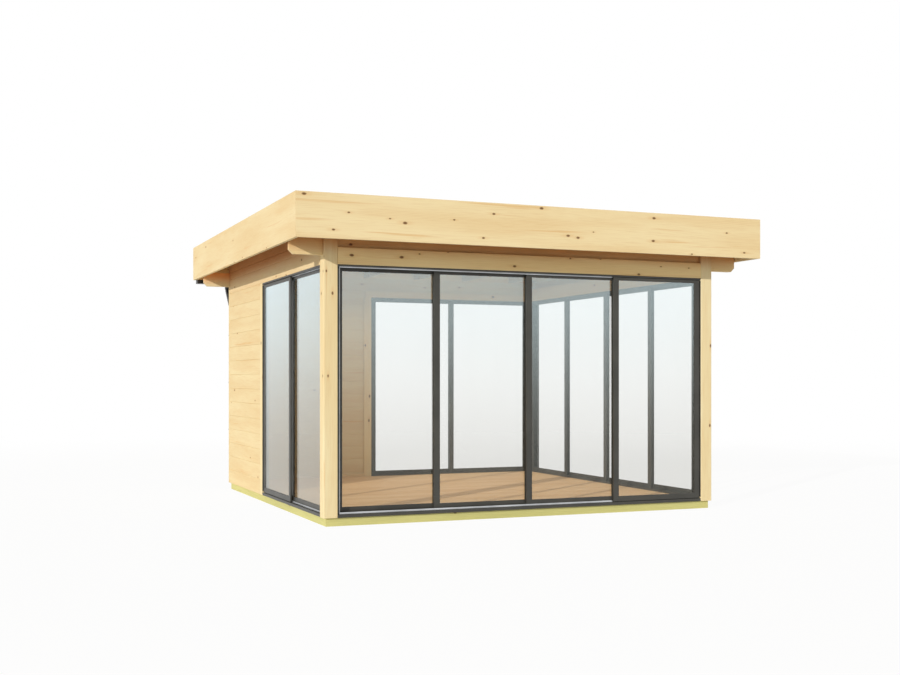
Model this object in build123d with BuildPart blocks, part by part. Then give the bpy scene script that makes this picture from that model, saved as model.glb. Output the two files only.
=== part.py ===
from build123d import *
import os

# A flat-roofed log cabin with sliding glass walls, in millimetres.
# The origin is on the ground under the middle of the roof. +X runs right and +Y runs to the rear,
# so the long glass front faces -Y. Log walls fill the rear left corner, glass fills the rest.

# Overall sizes, measured on the outer faces of the walls
wall_width = 3500.0
wall_depth = 3430.0
side_overhang = 297.0
front_overhang = 286.0
rear_overhang = 359.0

# Clearances
fit = 0.3
overrun = 5.0

# Foundation and floor
base_height = 65.0
base_inset = 22.0
base_beam_width = 90.0
base_joist_width = 45.0
base_joist_count = 8
floor_thickness = 20.0

# Logs, laid in courses with a tongue on top and a groove below
log_thickness = 44.0
course = 138.0
full_courses = 14
tongue_width = 14.0
tongue_height = 10.0
joint_chamfer = 3.0

# Corner posts, and the grooved jambs that close the ends of the log walls
post_size = 110.0
post_edge = 4.0
jamb_width = 80.0
jamb_depth = 60.0
jamb_groove = 14.0

# The front and rear top logs reach out sideways as brackets under the roof
bracket_gap = 9.0
bracket_chamfer = 33.0
lintel_upstand = 60.0

# Roof
fascia_height = 335.0
fascia_thickness = 28.0
fascia_lap = 48.0
roof_joist_width = 45.0
roof_joist_count = 8
roof_joist_front_height = 150.0
roof_joist_rear_height = 80.0
deck_thickness = 18.0
membrane_thickness = 4.0
eave_board_thickness = 28.0

# Gutter and downpipe
gutter_width = 84.0
gutter_depth = 75.0
gutter_wall = 2.5
gutter_drop = 39.0
pipe_radius = 34.0
pipe_wall = 2.0
pipe_corner_gap = 30.0
pipe_standoff = 25.0
pipe_neck = 60.0
pipe_bend_radius = 55.0
pipe_shoe_height = 190.0
pipe_shoe_reach = 80.0
pipe_end_height = 90.0
pipe_clip_width = 30.0
pipe_clip_height = 26.0
pipe_clip_height_shares = (0.25, 0.55, 0.85)

# Sliding leaves and their track frames
two_leaf_width = 1870.0
four_leaf_track_count = 4
two_leaf_track_count = 2
track_recess = 3.0
track_plate = 14.0
fin_thickness = 1.6
sill_fin = 24.0
head_fin = 8.0
jamb_plate = 6.0
jamb_fin = 18.0
runner_rail_width = 4.0
runner_rail_height = 10.0
leaf_clearance = 5.0
stile_width = 50.0
top_rail_height = 25.0
bottom_rail_height = 43.0
glass_thickness = 6.0
glass_rebate = 10.0
roller_radius = 10.0
roller_width = 5.0
roller_axle_radius = 3.0
roller_inset_share = 0.18
roller_side_count = 16
axle_side_count = 8

# Heights that follow from the courses
half_course = course / 2
quarter_course = course / 4
head_height = base_height + full_courses * course
top_log_bottom = head_height + half_course
wall_top = top_log_bottom + course
fascia_bottom = wall_top - fascia_lap

# Places that follow from the overall sizes
left_face = -wall_width / 2
right_face = wall_width / 2
roof_depth = front_overhang + wall_depth + rear_overhang
roof_front = -roof_depth / 2
roof_rear = roof_depth / 2
roof_right = right_face + side_overhang
front_face = roof_front + front_overhang
rear_face = roof_rear - rear_overhang
front_log_setback = (post_size - log_thickness) / 2
bracket_reach = side_overhang - fascia_thickness - bracket_gap

# Tracks fill the depth of a corner post, and each leaf keeps its clearance from the fins beside it
track_pitch = (post_size - 2 * track_recess - fin_thickness) / four_leaf_track_count
leaf_thickness = track_pitch - fin_thickness - 2 * leaf_clearance
leaf_bottom = base_height + track_plate + runner_rail_height + leaf_clearance
leaf_top = head_height - track_plate - leaf_clearance
leaf_height = leaf_top - leaf_bottom

# Each wall is a plane on its outer face: x runs along it to the right as seen from outside,
# y runs up and z points out of the building
front_wall = Plane(origin=(left_face, front_face, 0), x_dir=(1, 0, 0), z_dir=(0, -1, 0))
right_wall = Plane(origin=(right_face, front_face, 0), x_dir=(0, 1, 0), z_dir=(1, 0, 0))
rear_wall = Plane(origin=(right_face, rear_face, 0), x_dir=(-1, 0, 0), z_dir=(0, 1, 0))
left_wall = Plane(origin=(left_face, rear_face, 0), x_dir=(0, -1, 0), z_dir=(-1, 0, 0))


def section(wall, along):
    """The upright plane across a wall: x runs inwards from its outer face and y runs up."""
    return Plane(origin=wall.from_local_coords((along, 0, 0)), x_dir=-wall.z_dir, z_dir=wall.x_dir)


def plan(wall, along, height):
    """The level plane beside a wall: x runs along the wall and y runs inwards."""
    return Plane(origin=wall.from_local_coords((along, height, 0)), x_dir=wall.x_dir, z_dir=(0, 0, 1))


def rectangle(low, high, mode=Mode.ADD):
    """A rectangle between two corners of the sketch in hand."""
    with Locations(((low[0] + high[0]) / 2, (low[1] + high[1]) / 2)):
        Rectangle(high[0] - low[0], high[1] - low[1], mode=mode)


def save(piece, name):
    """Label a finished piece and write it to its own file."""
    piece.label = name
    export_step(piece, os.path.join("parts", name + ".step"))


def track_depth(tracks):
    """How deep a track frame with this many tracks is."""
    return tracks * track_pitch + fin_thickness


def foundation_beams():
    """Four beams round the edge and joists between the front and rear ones."""
    half_width = wall_width / 2 - base_inset
    outer_front = front_face + base_inset
    outer_rear = rear_face - base_inset
    inner_front = outer_front + base_beam_width
    inner_rear = outer_rear - base_beam_width
    joist_span = 2 * (half_width - base_beam_width)
    joist_pitch = joist_span / (base_joist_count + 1)
    with BuildPart() as beams:
        with BuildSketch():
            rectangle((-half_width, outer_front), (half_width, inner_front))
            rectangle((-half_width, inner_rear), (half_width, outer_rear))
            with Locations((0, (inner_front + inner_rear) / 2)):
                with GridLocations(2 * half_width - base_beam_width, 0, 2, 1):
                    Rectangle(base_beam_width, inner_rear - inner_front - 2 * fit)
                with GridLocations(joist_pitch, 0, base_joist_count, 1):
                    Rectangle(base_joist_width, inner_rear - inner_front - 2 * fit)
        extrude(amount=base_height)
    return beams.part


def floor_slab():
    """The boarded floor, which reaches the log walls between the posts, jambs and tracks."""
    glass_margin = max(jamb_depth, track_recess + track_depth(two_leaf_track_count)) + fit
    log_margin = log_thickness + fit
    low = (left_face + glass_margin, front_face + post_size + fit)
    high = (right_face - post_size - fit, rear_face - glass_margin)
    jamb_end = post_size + two_leaf_width + jamb_width + fit
    corner = (left_face + log_margin, rear_face - log_margin)
    with BuildPart() as floor:
        with BuildSketch(Plane.XY.offset(base_height)):
            rectangle(low, high)
            rectangle((corner[0], front_face + jamb_end), (low[0] + overrun, corner[1]))
            rectangle((corner[0], high[1] - overrun), (right_face - jamb_end, corner[1]))
        extrude(amount=floor_thickness)
    return floor.part


def corner_post(wall, along, slot_depth):
    """A square post with a slot in its top for the log that crosses it."""
    with BuildPart() as post:
        with BuildSketch(plan(wall, along, base_height)) as outline:
            rectangle((0, 0), (post_size, post_size))
            chamfer(outline.vertices(), length=post_edge)
        extrude(amount=wall_top - base_height)
        with BuildSketch(section(wall, along - overrun)):
            slot_start = slot_depth - fit
            if slot_depth == 0:
                slot_start = -overrun
            rectangle((slot_start, top_log_bottom), (slot_depth + log_thickness + fit, wall_top + overrun))
        extrude(amount=post_size + 2 * overrun, mode=Mode.SUBTRACT)
    return post.part


def log(wall, start, end, bottom, top, tongue=True, finger_end=None):
    """One log between two places along a wall, with a half-height finger at a corner end."""
    body_bottom = max(bottom, base_height)
    body_top = top - fit
    middle = log_thickness / 2
    with BuildPart() as piece:
        with BuildSketch(section(wall, start)) as profile:
            rectangle((0, body_bottom), (log_thickness, body_top))
            chamfer(profile.vertices(), length=joint_chamfer)
            if bottom > base_height:
                groove = tongue_width / 2 + fit
                rectangle(
                    (middle - groove, body_bottom - overrun),
                    (middle + groove, body_bottom + tongue_height + fit),
                    mode=Mode.SUBTRACT,
                )
            if tongue:
                rectangle(
                    (middle - tongue_width / 2, body_top - overrun),
                    (middle + tongue_width / 2, body_top + tongue_height),
                )
        extrude(amount=end - start)
        if finger_end is not None:
            finger_low = max(bottom + quarter_course, base_height)
            finger_high = bottom + quarter_course + half_course - fit
            with BuildSketch(section(wall, min(finger_end, end))):
                rectangle((0, finger_low), (log_thickness, finger_high))
            extrude(amount=abs(finger_end - (end if finger_end > end else start)))
    return piece.part


def left_log_wall():
    """The left wall's logs, from the grooved jamb to the fingered rear corner."""
    end = wall_depth - post_size - two_leaf_width - jamb_width + jamb_groove - fit
    with BuildPart() as logs:
        for level in range(full_courses):
            bottom = base_height + level * course
            add(log(left_wall, log_thickness + fit, end, bottom, bottom + course, finger_end=0))
    return logs.part


def rear_log_wall():
    """The rear wall's logs, half a course lower, so that their fingers pass between the left ones."""
    start = post_size + two_leaf_width + jamb_width - jamb_groove + fit
    end = wall_width - log_thickness - fit
    with BuildPart() as logs:
        for level in range(full_courses + 1):
            bottom = base_height + level * course - half_course
            is_last = level == full_courses
            add(log(rear_wall, start, end, bottom, bottom + course, not is_last, wall_width))
    return logs.part


def jamb_post(wall, along, groove_at_end):
    """An upright that closes the log wall's end, grooved over the ends of the logs."""
    groove_low = jamb_width - jamb_groove if groove_at_end else -overrun
    groove_high = jamb_width + overrun if groove_at_end else jamb_groove
    with BuildPart() as jamb:
        with BuildSketch(plan(wall, along, base_height)):
            rectangle((0, 0), (jamb_width, jamb_depth))
            rectangle((groove_low, -overrun), (groove_high, log_thickness + fit), mode=Mode.SUBTRACT)
        extrude(amount=head_height - base_height)
    return jamb.part


def front_lintel():
    """The rebated lintel over the front glass, whose upstand covers the foot of the top log."""
    with BuildPart() as lintel:
        with BuildSketch(section(front_wall, post_size + fit)):
            rectangle((0, head_height), (post_size, top_log_bottom))
            rectangle((0, head_height), (front_log_setback - fit, top_log_bottom + lintel_upstand))
        extrude(amount=wall_width - 2 * post_size - 2 * fit)
    return lintel.part


def plain_lintel(wall, start, end, depth, top):
    """A square-edged lintel over a glass wall."""
    with BuildPart() as lintel:
        with BuildSketch(section(wall, start + fit)):
            rectangle((0, head_height), (depth, top))
        extrude(amount=end - start - 2 * fit)
    return lintel.part


def bracket_log(wall, setback, notch_along=None):
    """A top log that reaches past both corners, with the lower edges of its ends cut off."""
    with BuildPart() as piece:
        with BuildSketch(wall.offset(-setback)) as elevation:
            rectangle((-bracket_reach, top_log_bottom), (wall_width + bracket_reach, wall_top))
            chamfer(elevation.vertices().group_by(Axis.Y)[0], length=bracket_chamfer)
            if notch_along is not None:
                rectangle(
                    (notch_along - fit, top_log_bottom - overrun),
                    (notch_along + log_thickness + fit, top_log_bottom + quarter_course),
                    mode=Mode.SUBTRACT,
                )
        extrude(amount=-log_thickness)
    return piece.part


def side_top_logs():
    """The half logs that finish the side walls, between the front posts and the rear."""
    bottom = head_height + course
    left_end = wall_depth - post_size - fit
    with BuildPart() as logs:
        add(log(left_wall, log_thickness + fit, left_end, bottom, wall_top + fit, tongue=False))
        with BuildSketch(section(right_wall, post_size + fit)):
            rectangle((0, bottom), (log_thickness, wall_top))
        extrude(amount=wall_depth - 2 * post_size - 2 * fit)
    return logs.part


# The roof joists run front to rear and taper, so that the deck falls towards the gutter
joist_front = roof_front + fascia_thickness
eave_face = roof_rear - gutter_width - fit
joist_rear = eave_face - eave_board_thickness
roof_fall_share = (roof_joist_front_height - roof_joist_rear_height) / (joist_rear - joist_front)
roof_half_span = roof_right - fascia_thickness


def joist_top(y):
    """Height of the joists' sloping top at a place from front to rear."""
    return wall_top + roof_joist_front_height - (y - joist_front) * roof_fall_share


def sloping_sheet(front, rear, lift, thickness, half_width):
    """A sheet that lies along the roof's fall, a given lift above the joists."""
    with BuildPart() as sheet:
        with BuildSketch(Plane.YZ.offset(-half_width)):
            with BuildLine():
                Polyline(
                    (front, joist_top(front) + lift),
                    (rear, joist_top(rear) + lift),
                    (rear, joist_top(rear) + lift + thickness),
                    (front, joist_top(front) + lift + thickness),
                    close=True,
                )
            make_face()
        extrude(amount=2 * half_width)
    return sheet.part


def roof_joists():
    """Tapered joists, the outer two of them against the side fascias on the bracket ends."""
    joist_pitch = (2 * roof_half_span - roof_joist_width) / (roof_joist_count - 1)
    with BuildPart() as joists:
        with BuildSketch(*[
            Plane.YZ.offset(index * joist_pitch - roof_half_span) for index in range(roof_joist_count)
        ]):
            with BuildLine():
                Polyline(
                    (joist_front, wall_top),
                    (joist_rear, wall_top),
                    (joist_rear, joist_top(joist_rear)),
                    (joist_front, joist_top(joist_front)),
                    close=True,
                )
            make_face()
        extrude(amount=roof_joist_width)
    return joists.part


def front_fascia():
    """The front fascia board, mitred at both ends."""
    with BuildPart() as fascia:
        with BuildSketch(Plane.XY.offset(fascia_bottom)):
            with BuildLine():
                Polyline(
                    (-roof_right, roof_front),
                    (roof_right, roof_front),
                    (roof_half_span, joist_front),
                    (-roof_half_span, joist_front),
                    close=True,
                )
            make_face()
        extrude(amount=fascia_height)
    return fascia.part


def side_fascias():
    """The side fascia boards, mitred at the front and square at the rear."""
    with BuildPart() as fascias:
        with BuildSketch(Plane.XY.offset(fascia_bottom)):
            with BuildLine():
                Polyline(
                    (roof_right, roof_front + fit),
                    (roof_right, roof_rear),
                    (roof_half_span, roof_rear),
                    (roof_half_span, joist_front + fit),
                    close=True,
                )
            make_face()
            mirror(about=Plane.YZ)
        extrude(amount=fascia_height)
    return fascias.part


def eave_board():
    """The board across the joists' rear ends, which carries the gutter."""
    with BuildPart() as board:
        with BuildSketch(Plane.YZ.offset(fit - roof_half_span)):
            rectangle((joist_rear, fascia_bottom), (eave_face, joist_top(eave_face)))
        extrude(amount=2 * (roof_half_span - fit))
    return board.part


gutter_bottom = fascia_bottom - gutter_drop
gutter_front = eave_face + fit
gutter_middle = gutter_front + (gutter_width - fit) / 2
pipe_x = left_face + pipe_corner_gap + pipe_radius


def gutter():
    """A square-line gutter between the side fascias, closed at both ends, over the pipe's head."""
    half_length = roof_half_span - fit
    with BuildPart() as channel:
        with BuildSketch(Plane.XY.offset(gutter_bottom)):
            rectangle((-half_length, gutter_front), (half_length, roof_rear))
        extrude(amount=gutter_depth)
        with BuildSketch(Plane.XY.offset(gutter_bottom + gutter_wall)):
            rectangle(
                (gutter_wall - half_length, gutter_front + gutter_wall),
                (half_length - gutter_wall, roof_rear - gutter_wall),
            )
        extrude(amount=gutter_depth, mode=Mode.SUBTRACT)
    return channel.part


def downpipe():
    """The pipe from the gutter's outlet back to the rear wall and down it, with clips and a shoe."""
    pipe_y = rear_face + pipe_standoff + pipe_radius
    pipe_start = gutter_bottom - fit
    neck_bottom = pipe_start - pipe_neck
    wall_start = neck_bottom - (gutter_middle - pipe_y)
    with BuildPart() as pipe:
        with BuildLine(Plane.YZ.offset(pipe_x)) as route:
            FilletPolyline(
                (gutter_middle, pipe_start),
                (gutter_middle, neck_bottom),
                (pipe_y, wall_start),
                (pipe_y, pipe_shoe_height),
                (pipe_y + pipe_shoe_reach, pipe_end_height),
                radius=pipe_bend_radius,
            )
        with BuildSketch(Plane.XY.offset(pipe_start)):
            with Locations((pipe_x, gutter_middle)):
                Circle(pipe_radius)
        sweep(path=route.line)
        for height_share in pipe_clip_height_shares:
            clip_bottom = pipe_shoe_height + height_share * (wall_start - pipe_shoe_height)
            with BuildSketch(Plane.XY.offset(clip_bottom)):
                rectangle(
                    (pipe_x - pipe_clip_width / 2, rear_face + fit),
                    (pipe_x + pipe_clip_width / 2, pipe_y),
                )
            extrude(amount=pipe_clip_height)
        with BuildSketch(Plane.XY.offset(pipe_start)):
            with Locations((pipe_x, gutter_middle)):
                Circle(pipe_radius - pipe_wall)
        sweep(path=route.line, mode=Mode.SUBTRACT)
    return pipe.part


def track_frame(wall, start, width, tracks):
    """Sill, head and two jambs with a fin between neighbouring tracks and a rail under each leaf."""
    depth = track_depth(tracks)
    length = width - 2 * fit
    sill_top = base_height + track_plate
    head_bottom = head_height - track_plate
    jamb_bottom = sill_top + sill_fin + fit
    jamb_top = head_bottom - head_fin - fit
    boundaries = [track_recess + index * track_pitch for index in range(tracks + 1)]
    with BuildPart() as frame:
        with BuildSketch(section(wall, start + fit)):
            rectangle((track_recess, base_height), (track_recess + depth, sill_top))
            rectangle((track_recess, head_bottom), (track_recess + depth, head_height))
            outer_lip = sill_top + runner_rail_height
            rectangle((track_recess, base_height), (track_recess + fin_thickness, outer_lip))
            for boundary in boundaries[1:]:
                rectangle((boundary, base_height), (boundary + fin_thickness, sill_top + sill_fin))
                rectangle((boundary, head_bottom - head_fin), (boundary + fin_thickness, head_height))
            for boundary in boundaries[:-1]:
                middle = boundary + (track_pitch + fin_thickness) / 2
                rail_low = middle - runner_rail_width / 2
                rail_high = middle + runner_rail_width / 2
                rectangle((rail_low, base_height), (rail_high, sill_top + runner_rail_height))
        extrude(amount=length)
        with BuildSketch(plan(wall, start + fit, jamb_bottom)):
            rectangle((0, track_recess), (jamb_plate, track_recess + depth))
            rectangle((length - jamb_plate, track_recess), (length, track_recess + depth))
            for boundary in boundaries[1:]:
                fin_reach = jamb_plate + jamb_fin
                rectangle((0, boundary), (fin_reach, boundary + fin_thickness))
                rectangle((length - fin_reach, boundary), (length, boundary + fin_thickness))
        extrude(amount=jamb_top - jamb_bottom)
    return frame.part


def leaf_width(width, leaves):
    """Width of each leaf of a unit, when neighbouring leaves overlap by a stile."""
    clear = width - 2 * (fit + jamb_plate + leaf_clearance)
    return (clear + (leaves - 1) * stile_width) / leaves


def leaf_start(start, width, leaves, index):
    """Where a leaf begins along its wall."""
    first = start + fit + jamb_plate + leaf_clearance
    return first + index * (leaf_width(width, leaves) - stile_width)


def leaf_face(wall, track):
    """The plane on the outer face of the leaf in a track, counted inwards from the outermost."""
    return wall.offset(-(track_recess + track * track_pitch + fin_thickness + leaf_clearance))


def pane_corners(along, width):
    """The two corners of a leaf's glass, which is let into the frame all round."""
    inset = stile_width - glass_rebate
    low = (along + inset, leaf_bottom + bottom_rail_height - glass_rebate)
    high = (along + width - inset, leaf_top - top_rail_height + glass_rebate)
    return low, high


def leaf_frame(wall, along, width, track):
    """A leaf's aluminium frame, grooved for its glass, with two rollers in its bottom rail."""
    face = leaf_face(wall, track)
    low, high = pane_corners(along, width)
    groove_start = (leaf_thickness - glass_thickness) / 2 - fit
    roller_start = (leaf_thickness - roller_width) / 2
    roller_height = leaf_bottom - leaf_clearance + fit + roller_radius
    pocket_top = roller_height + roller_radius + 2 * fit
    roller_middle = along + width / 2
    roller_gap = width * (1 - 2 * roller_inset_share)
    with BuildPart() as frame:
        with BuildSketch(face):
            rectangle((along, leaf_bottom), (along + width, leaf_top))
            rectangle(
                (along + stile_width, leaf_bottom + bottom_rail_height),
                (along + width - stile_width, leaf_top - top_rail_height),
                mode=Mode.SUBTRACT,
            )
        extrude(amount=-leaf_thickness)
        with BuildSketch(face.offset(-groove_start)):
            rectangle((low[0] - fit, low[1] - fit), (high[0] + fit, high[1] + fit))
        extrude(amount=-(glass_thickness + 2 * fit), mode=Mode.SUBTRACT)
        with BuildSketch(face.offset(fit - roller_start)):
            with Locations((roller_middle, (leaf_bottom - overrun + pocket_top) / 2)):
                with GridLocations(roller_gap, 0, 2, 1):
                    Rectangle(2 * (roller_radius + fit), pocket_top - leaf_bottom + overrun)
        extrude(amount=-(roller_width + 2 * fit), mode=Mode.SUBTRACT)
        with BuildSketch(face):
            with Locations((roller_middle, roller_height)):
                with GridLocations(roller_gap, 0, 2, 1):
                    RegularPolygon(roller_axle_radius + fit, axle_side_count)
        extrude(amount=-leaf_thickness, mode=Mode.SUBTRACT)
        with BuildSketch(face):
            with Locations((roller_middle, roller_height)):
                with GridLocations(roller_gap, 0, 2, 1):
                    RegularPolygon(roller_axle_radius, axle_side_count)
        extrude(amount=-leaf_thickness)
        with BuildSketch(face.offset(-roller_start)):
            with Locations((roller_middle, roller_height)):
                with GridLocations(roller_gap, 0, 2, 1):
                    RegularPolygon(roller_radius, roller_side_count)
        extrude(amount=-roller_width)
    return frame.part


def leaf_glass(wall, along, width, track):
    """A leaf's pane, in the middle of the frame's thickness."""
    low, high = pane_corners(along, width)
    with BuildPart() as glass:
        with BuildSketch(leaf_face(wall, track).offset((glass_thickness - leaf_thickness) / 2)):
            rectangle(low, high)
        extrude(amount=-glass_thickness)
    return glass.part


# Each glass wall: name, plane, start along it, width, tracks, and each leaf's track from left to
# right as seen from outside. The leaf in the outermost track is fixed, and the others slide.
front_width = wall_width - 2 * post_size
right_width = wall_depth - 2 * post_size
left_start = wall_depth - post_size - two_leaf_width
glass_walls = [
    ("front", front_wall, post_size, front_width, four_leaf_track_count, (3, 2, 1, 0)),
    ("right", right_wall, post_size, right_width, four_leaf_track_count, (0, 1, 2, 3)),
    ("left", left_wall, left_start, two_leaf_width, two_leaf_track_count, (0, 1)),
    ("rear", rear_wall, post_size, two_leaf_width, two_leaf_track_count, (1, 0)),
]

os.makedirs("parts", exist_ok=True)

save(foundation_beams(), "foundation_beams")
save(floor_slab(), "floor")

save(corner_post(front_wall, 0, front_log_setback), "front_left_post")
save(corner_post(front_wall, wall_width - post_size, front_log_setback), "front_right_post")
save(corner_post(rear_wall, 0, 0), "rear_right_post")
save(left_log_wall(), "left_wall_logs")
save(rear_log_wall(), "rear_wall_logs")
save(jamb_post(left_wall, left_start - jamb_width, groove_at_end=False), "left_jamb_post")
save(jamb_post(rear_wall, post_size + two_leaf_width, groove_at_end=True), "rear_jamb_post")

rear_lintel_end = post_size + two_leaf_width + jamb_width - jamb_groove
left_lintel_end = wall_depth - post_size - fit
side_lintel_top = head_height + course
save(front_lintel(), "front_lintel")
save(plain_lintel(rear_wall, post_size, rear_lintel_end, jamb_depth, top_log_bottom), "rear_lintel")
save(
    log(left_wall, log_thickness + fit, left_lintel_end, head_height, side_lintel_top, finger_end=0),
    "left_lintel",
)
save(
    plain_lintel(right_wall, post_size, wall_depth - post_size, post_size, side_lintel_top),
    "right_lintel",
)
save(bracket_log(front_wall, front_log_setback), "front_top_log")
save(bracket_log(rear_wall, 0, wall_width - log_thickness), "rear_top_log")
save(side_top_logs(), "side_top_logs")

save(roof_joists(), "roof_joists")
deck_half_width = roof_half_span - fit
membrane_lift = deck_thickness + 2 * fit
save(sloping_sheet(joist_front + fit, eave_face, fit, deck_thickness, deck_half_width), "roof_deck")
save(
    sloping_sheet(joist_front + fit, gutter_front, membrane_lift, membrane_thickness, deck_half_width),
    "roof_membrane",
)
save(front_fascia(), "front_fascia")
save(side_fascias(), "side_fascias")
save(eave_board(), "eave_board")
save(gutter(), "gutter")
save(downpipe(), "downpipe")

fixed_frames = []
fixed_panes = []
for name, wall, start, width, tracks, leaf_tracks in glass_walls:
    save(track_frame(wall, start, width, tracks), name + "_track_frame")
    leaves = len(leaf_tracks)
    each_width = leaf_width(width, leaves)
    for index, track in enumerate(leaf_tracks):
        along = leaf_start(start, width, leaves, index)
        frame_piece = leaf_frame(wall, along, each_width, track)
        pane_piece = leaf_glass(wall, along, each_width, track)
        if track == 0:
            fixed_frames.append(frame_piece)
            fixed_panes.append(pane_piece)
        else:
            leaf_name = name + "_leaf_" + str(index + 1)
            save(frame_piece, leaf_name + "_frame")
            save(pane_piece, leaf_name + "_glass")

with BuildPart() as fixed_leaf_frames:
    add(fixed_frames)
save(fixed_leaf_frames.part, "fixed_leaf_frames")

with BuildPart() as fixed_leaf_glass:
    add(fixed_panes)
save(fixed_leaf_glass.part, "fixed_leaf_glass")
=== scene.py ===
import enum
import logging
import math
from dataclasses import dataclass, field, replace

import bmesh
import bpy
from mathutils import Matrix, Vector


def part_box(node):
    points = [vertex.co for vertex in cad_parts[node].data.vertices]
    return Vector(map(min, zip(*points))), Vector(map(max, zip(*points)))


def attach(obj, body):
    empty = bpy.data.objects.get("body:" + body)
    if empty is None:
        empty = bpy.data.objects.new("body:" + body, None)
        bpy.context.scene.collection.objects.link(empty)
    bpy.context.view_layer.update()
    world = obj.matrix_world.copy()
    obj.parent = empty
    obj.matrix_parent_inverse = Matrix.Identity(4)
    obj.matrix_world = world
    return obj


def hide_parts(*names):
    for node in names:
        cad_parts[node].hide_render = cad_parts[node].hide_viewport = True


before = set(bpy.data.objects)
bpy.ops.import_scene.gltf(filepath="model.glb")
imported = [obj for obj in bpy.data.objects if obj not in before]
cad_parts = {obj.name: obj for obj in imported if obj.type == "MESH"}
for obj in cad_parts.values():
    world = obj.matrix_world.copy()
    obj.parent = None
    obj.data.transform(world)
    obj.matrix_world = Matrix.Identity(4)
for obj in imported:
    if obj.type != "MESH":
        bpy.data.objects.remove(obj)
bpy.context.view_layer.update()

# Looks of a flat-roofed log cabin with sliding glass walls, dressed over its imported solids.
# Every piece is in metres in the frame of the solids: +X to the right seen from the glass front,
# +Y from the front to the rear and +Z up from the ground.

Colour = tuple[float, float, float]
Corner = tuple[float, float, float]
Profile = tuple[tuple[float, float], ...]
Socket = bpy.types.NodeSocket
Material = bpy.types.Material
Mesh = bpy.types.Mesh
Piece = bpy.types.Object
Value = Socket | float | int | tuple

LOG = logging.getLogger("log_cabin")
CABIN = "cabin"
# Painted shade: a darker, warmer tint for outer faces under the eaves, growing towards the top.
EAVE_SHADE_TINT: Colour = (0.66, 0.38, 0.23)
# Painted shade: a darker, warmer tint for the soffit boards and joist ends outside the room.
SOFFIT_SHADE_TINT: Colour = (0.95, 0.66, 0.43)
NO_STRAY: Corner = (0.0, 0.0, 0.0)
BEVEL_STEPS = 2
BEVEL_ROUNDNESS = 0.6


class Grain(enum.Enum):
    """The way in which a timber piece's grain runs."""

    ALONG_X = "x"
    ALONG_Y = "y"
    ALONG_Z = "z"
    ROUND_THE_WALLS = "walls"


class Side(enum.Enum):
    """The end of a glass wall, seen from outside, at which its fixed leaf stands."""

    LEFT = "left"
    RIGHT = "right"


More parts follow.
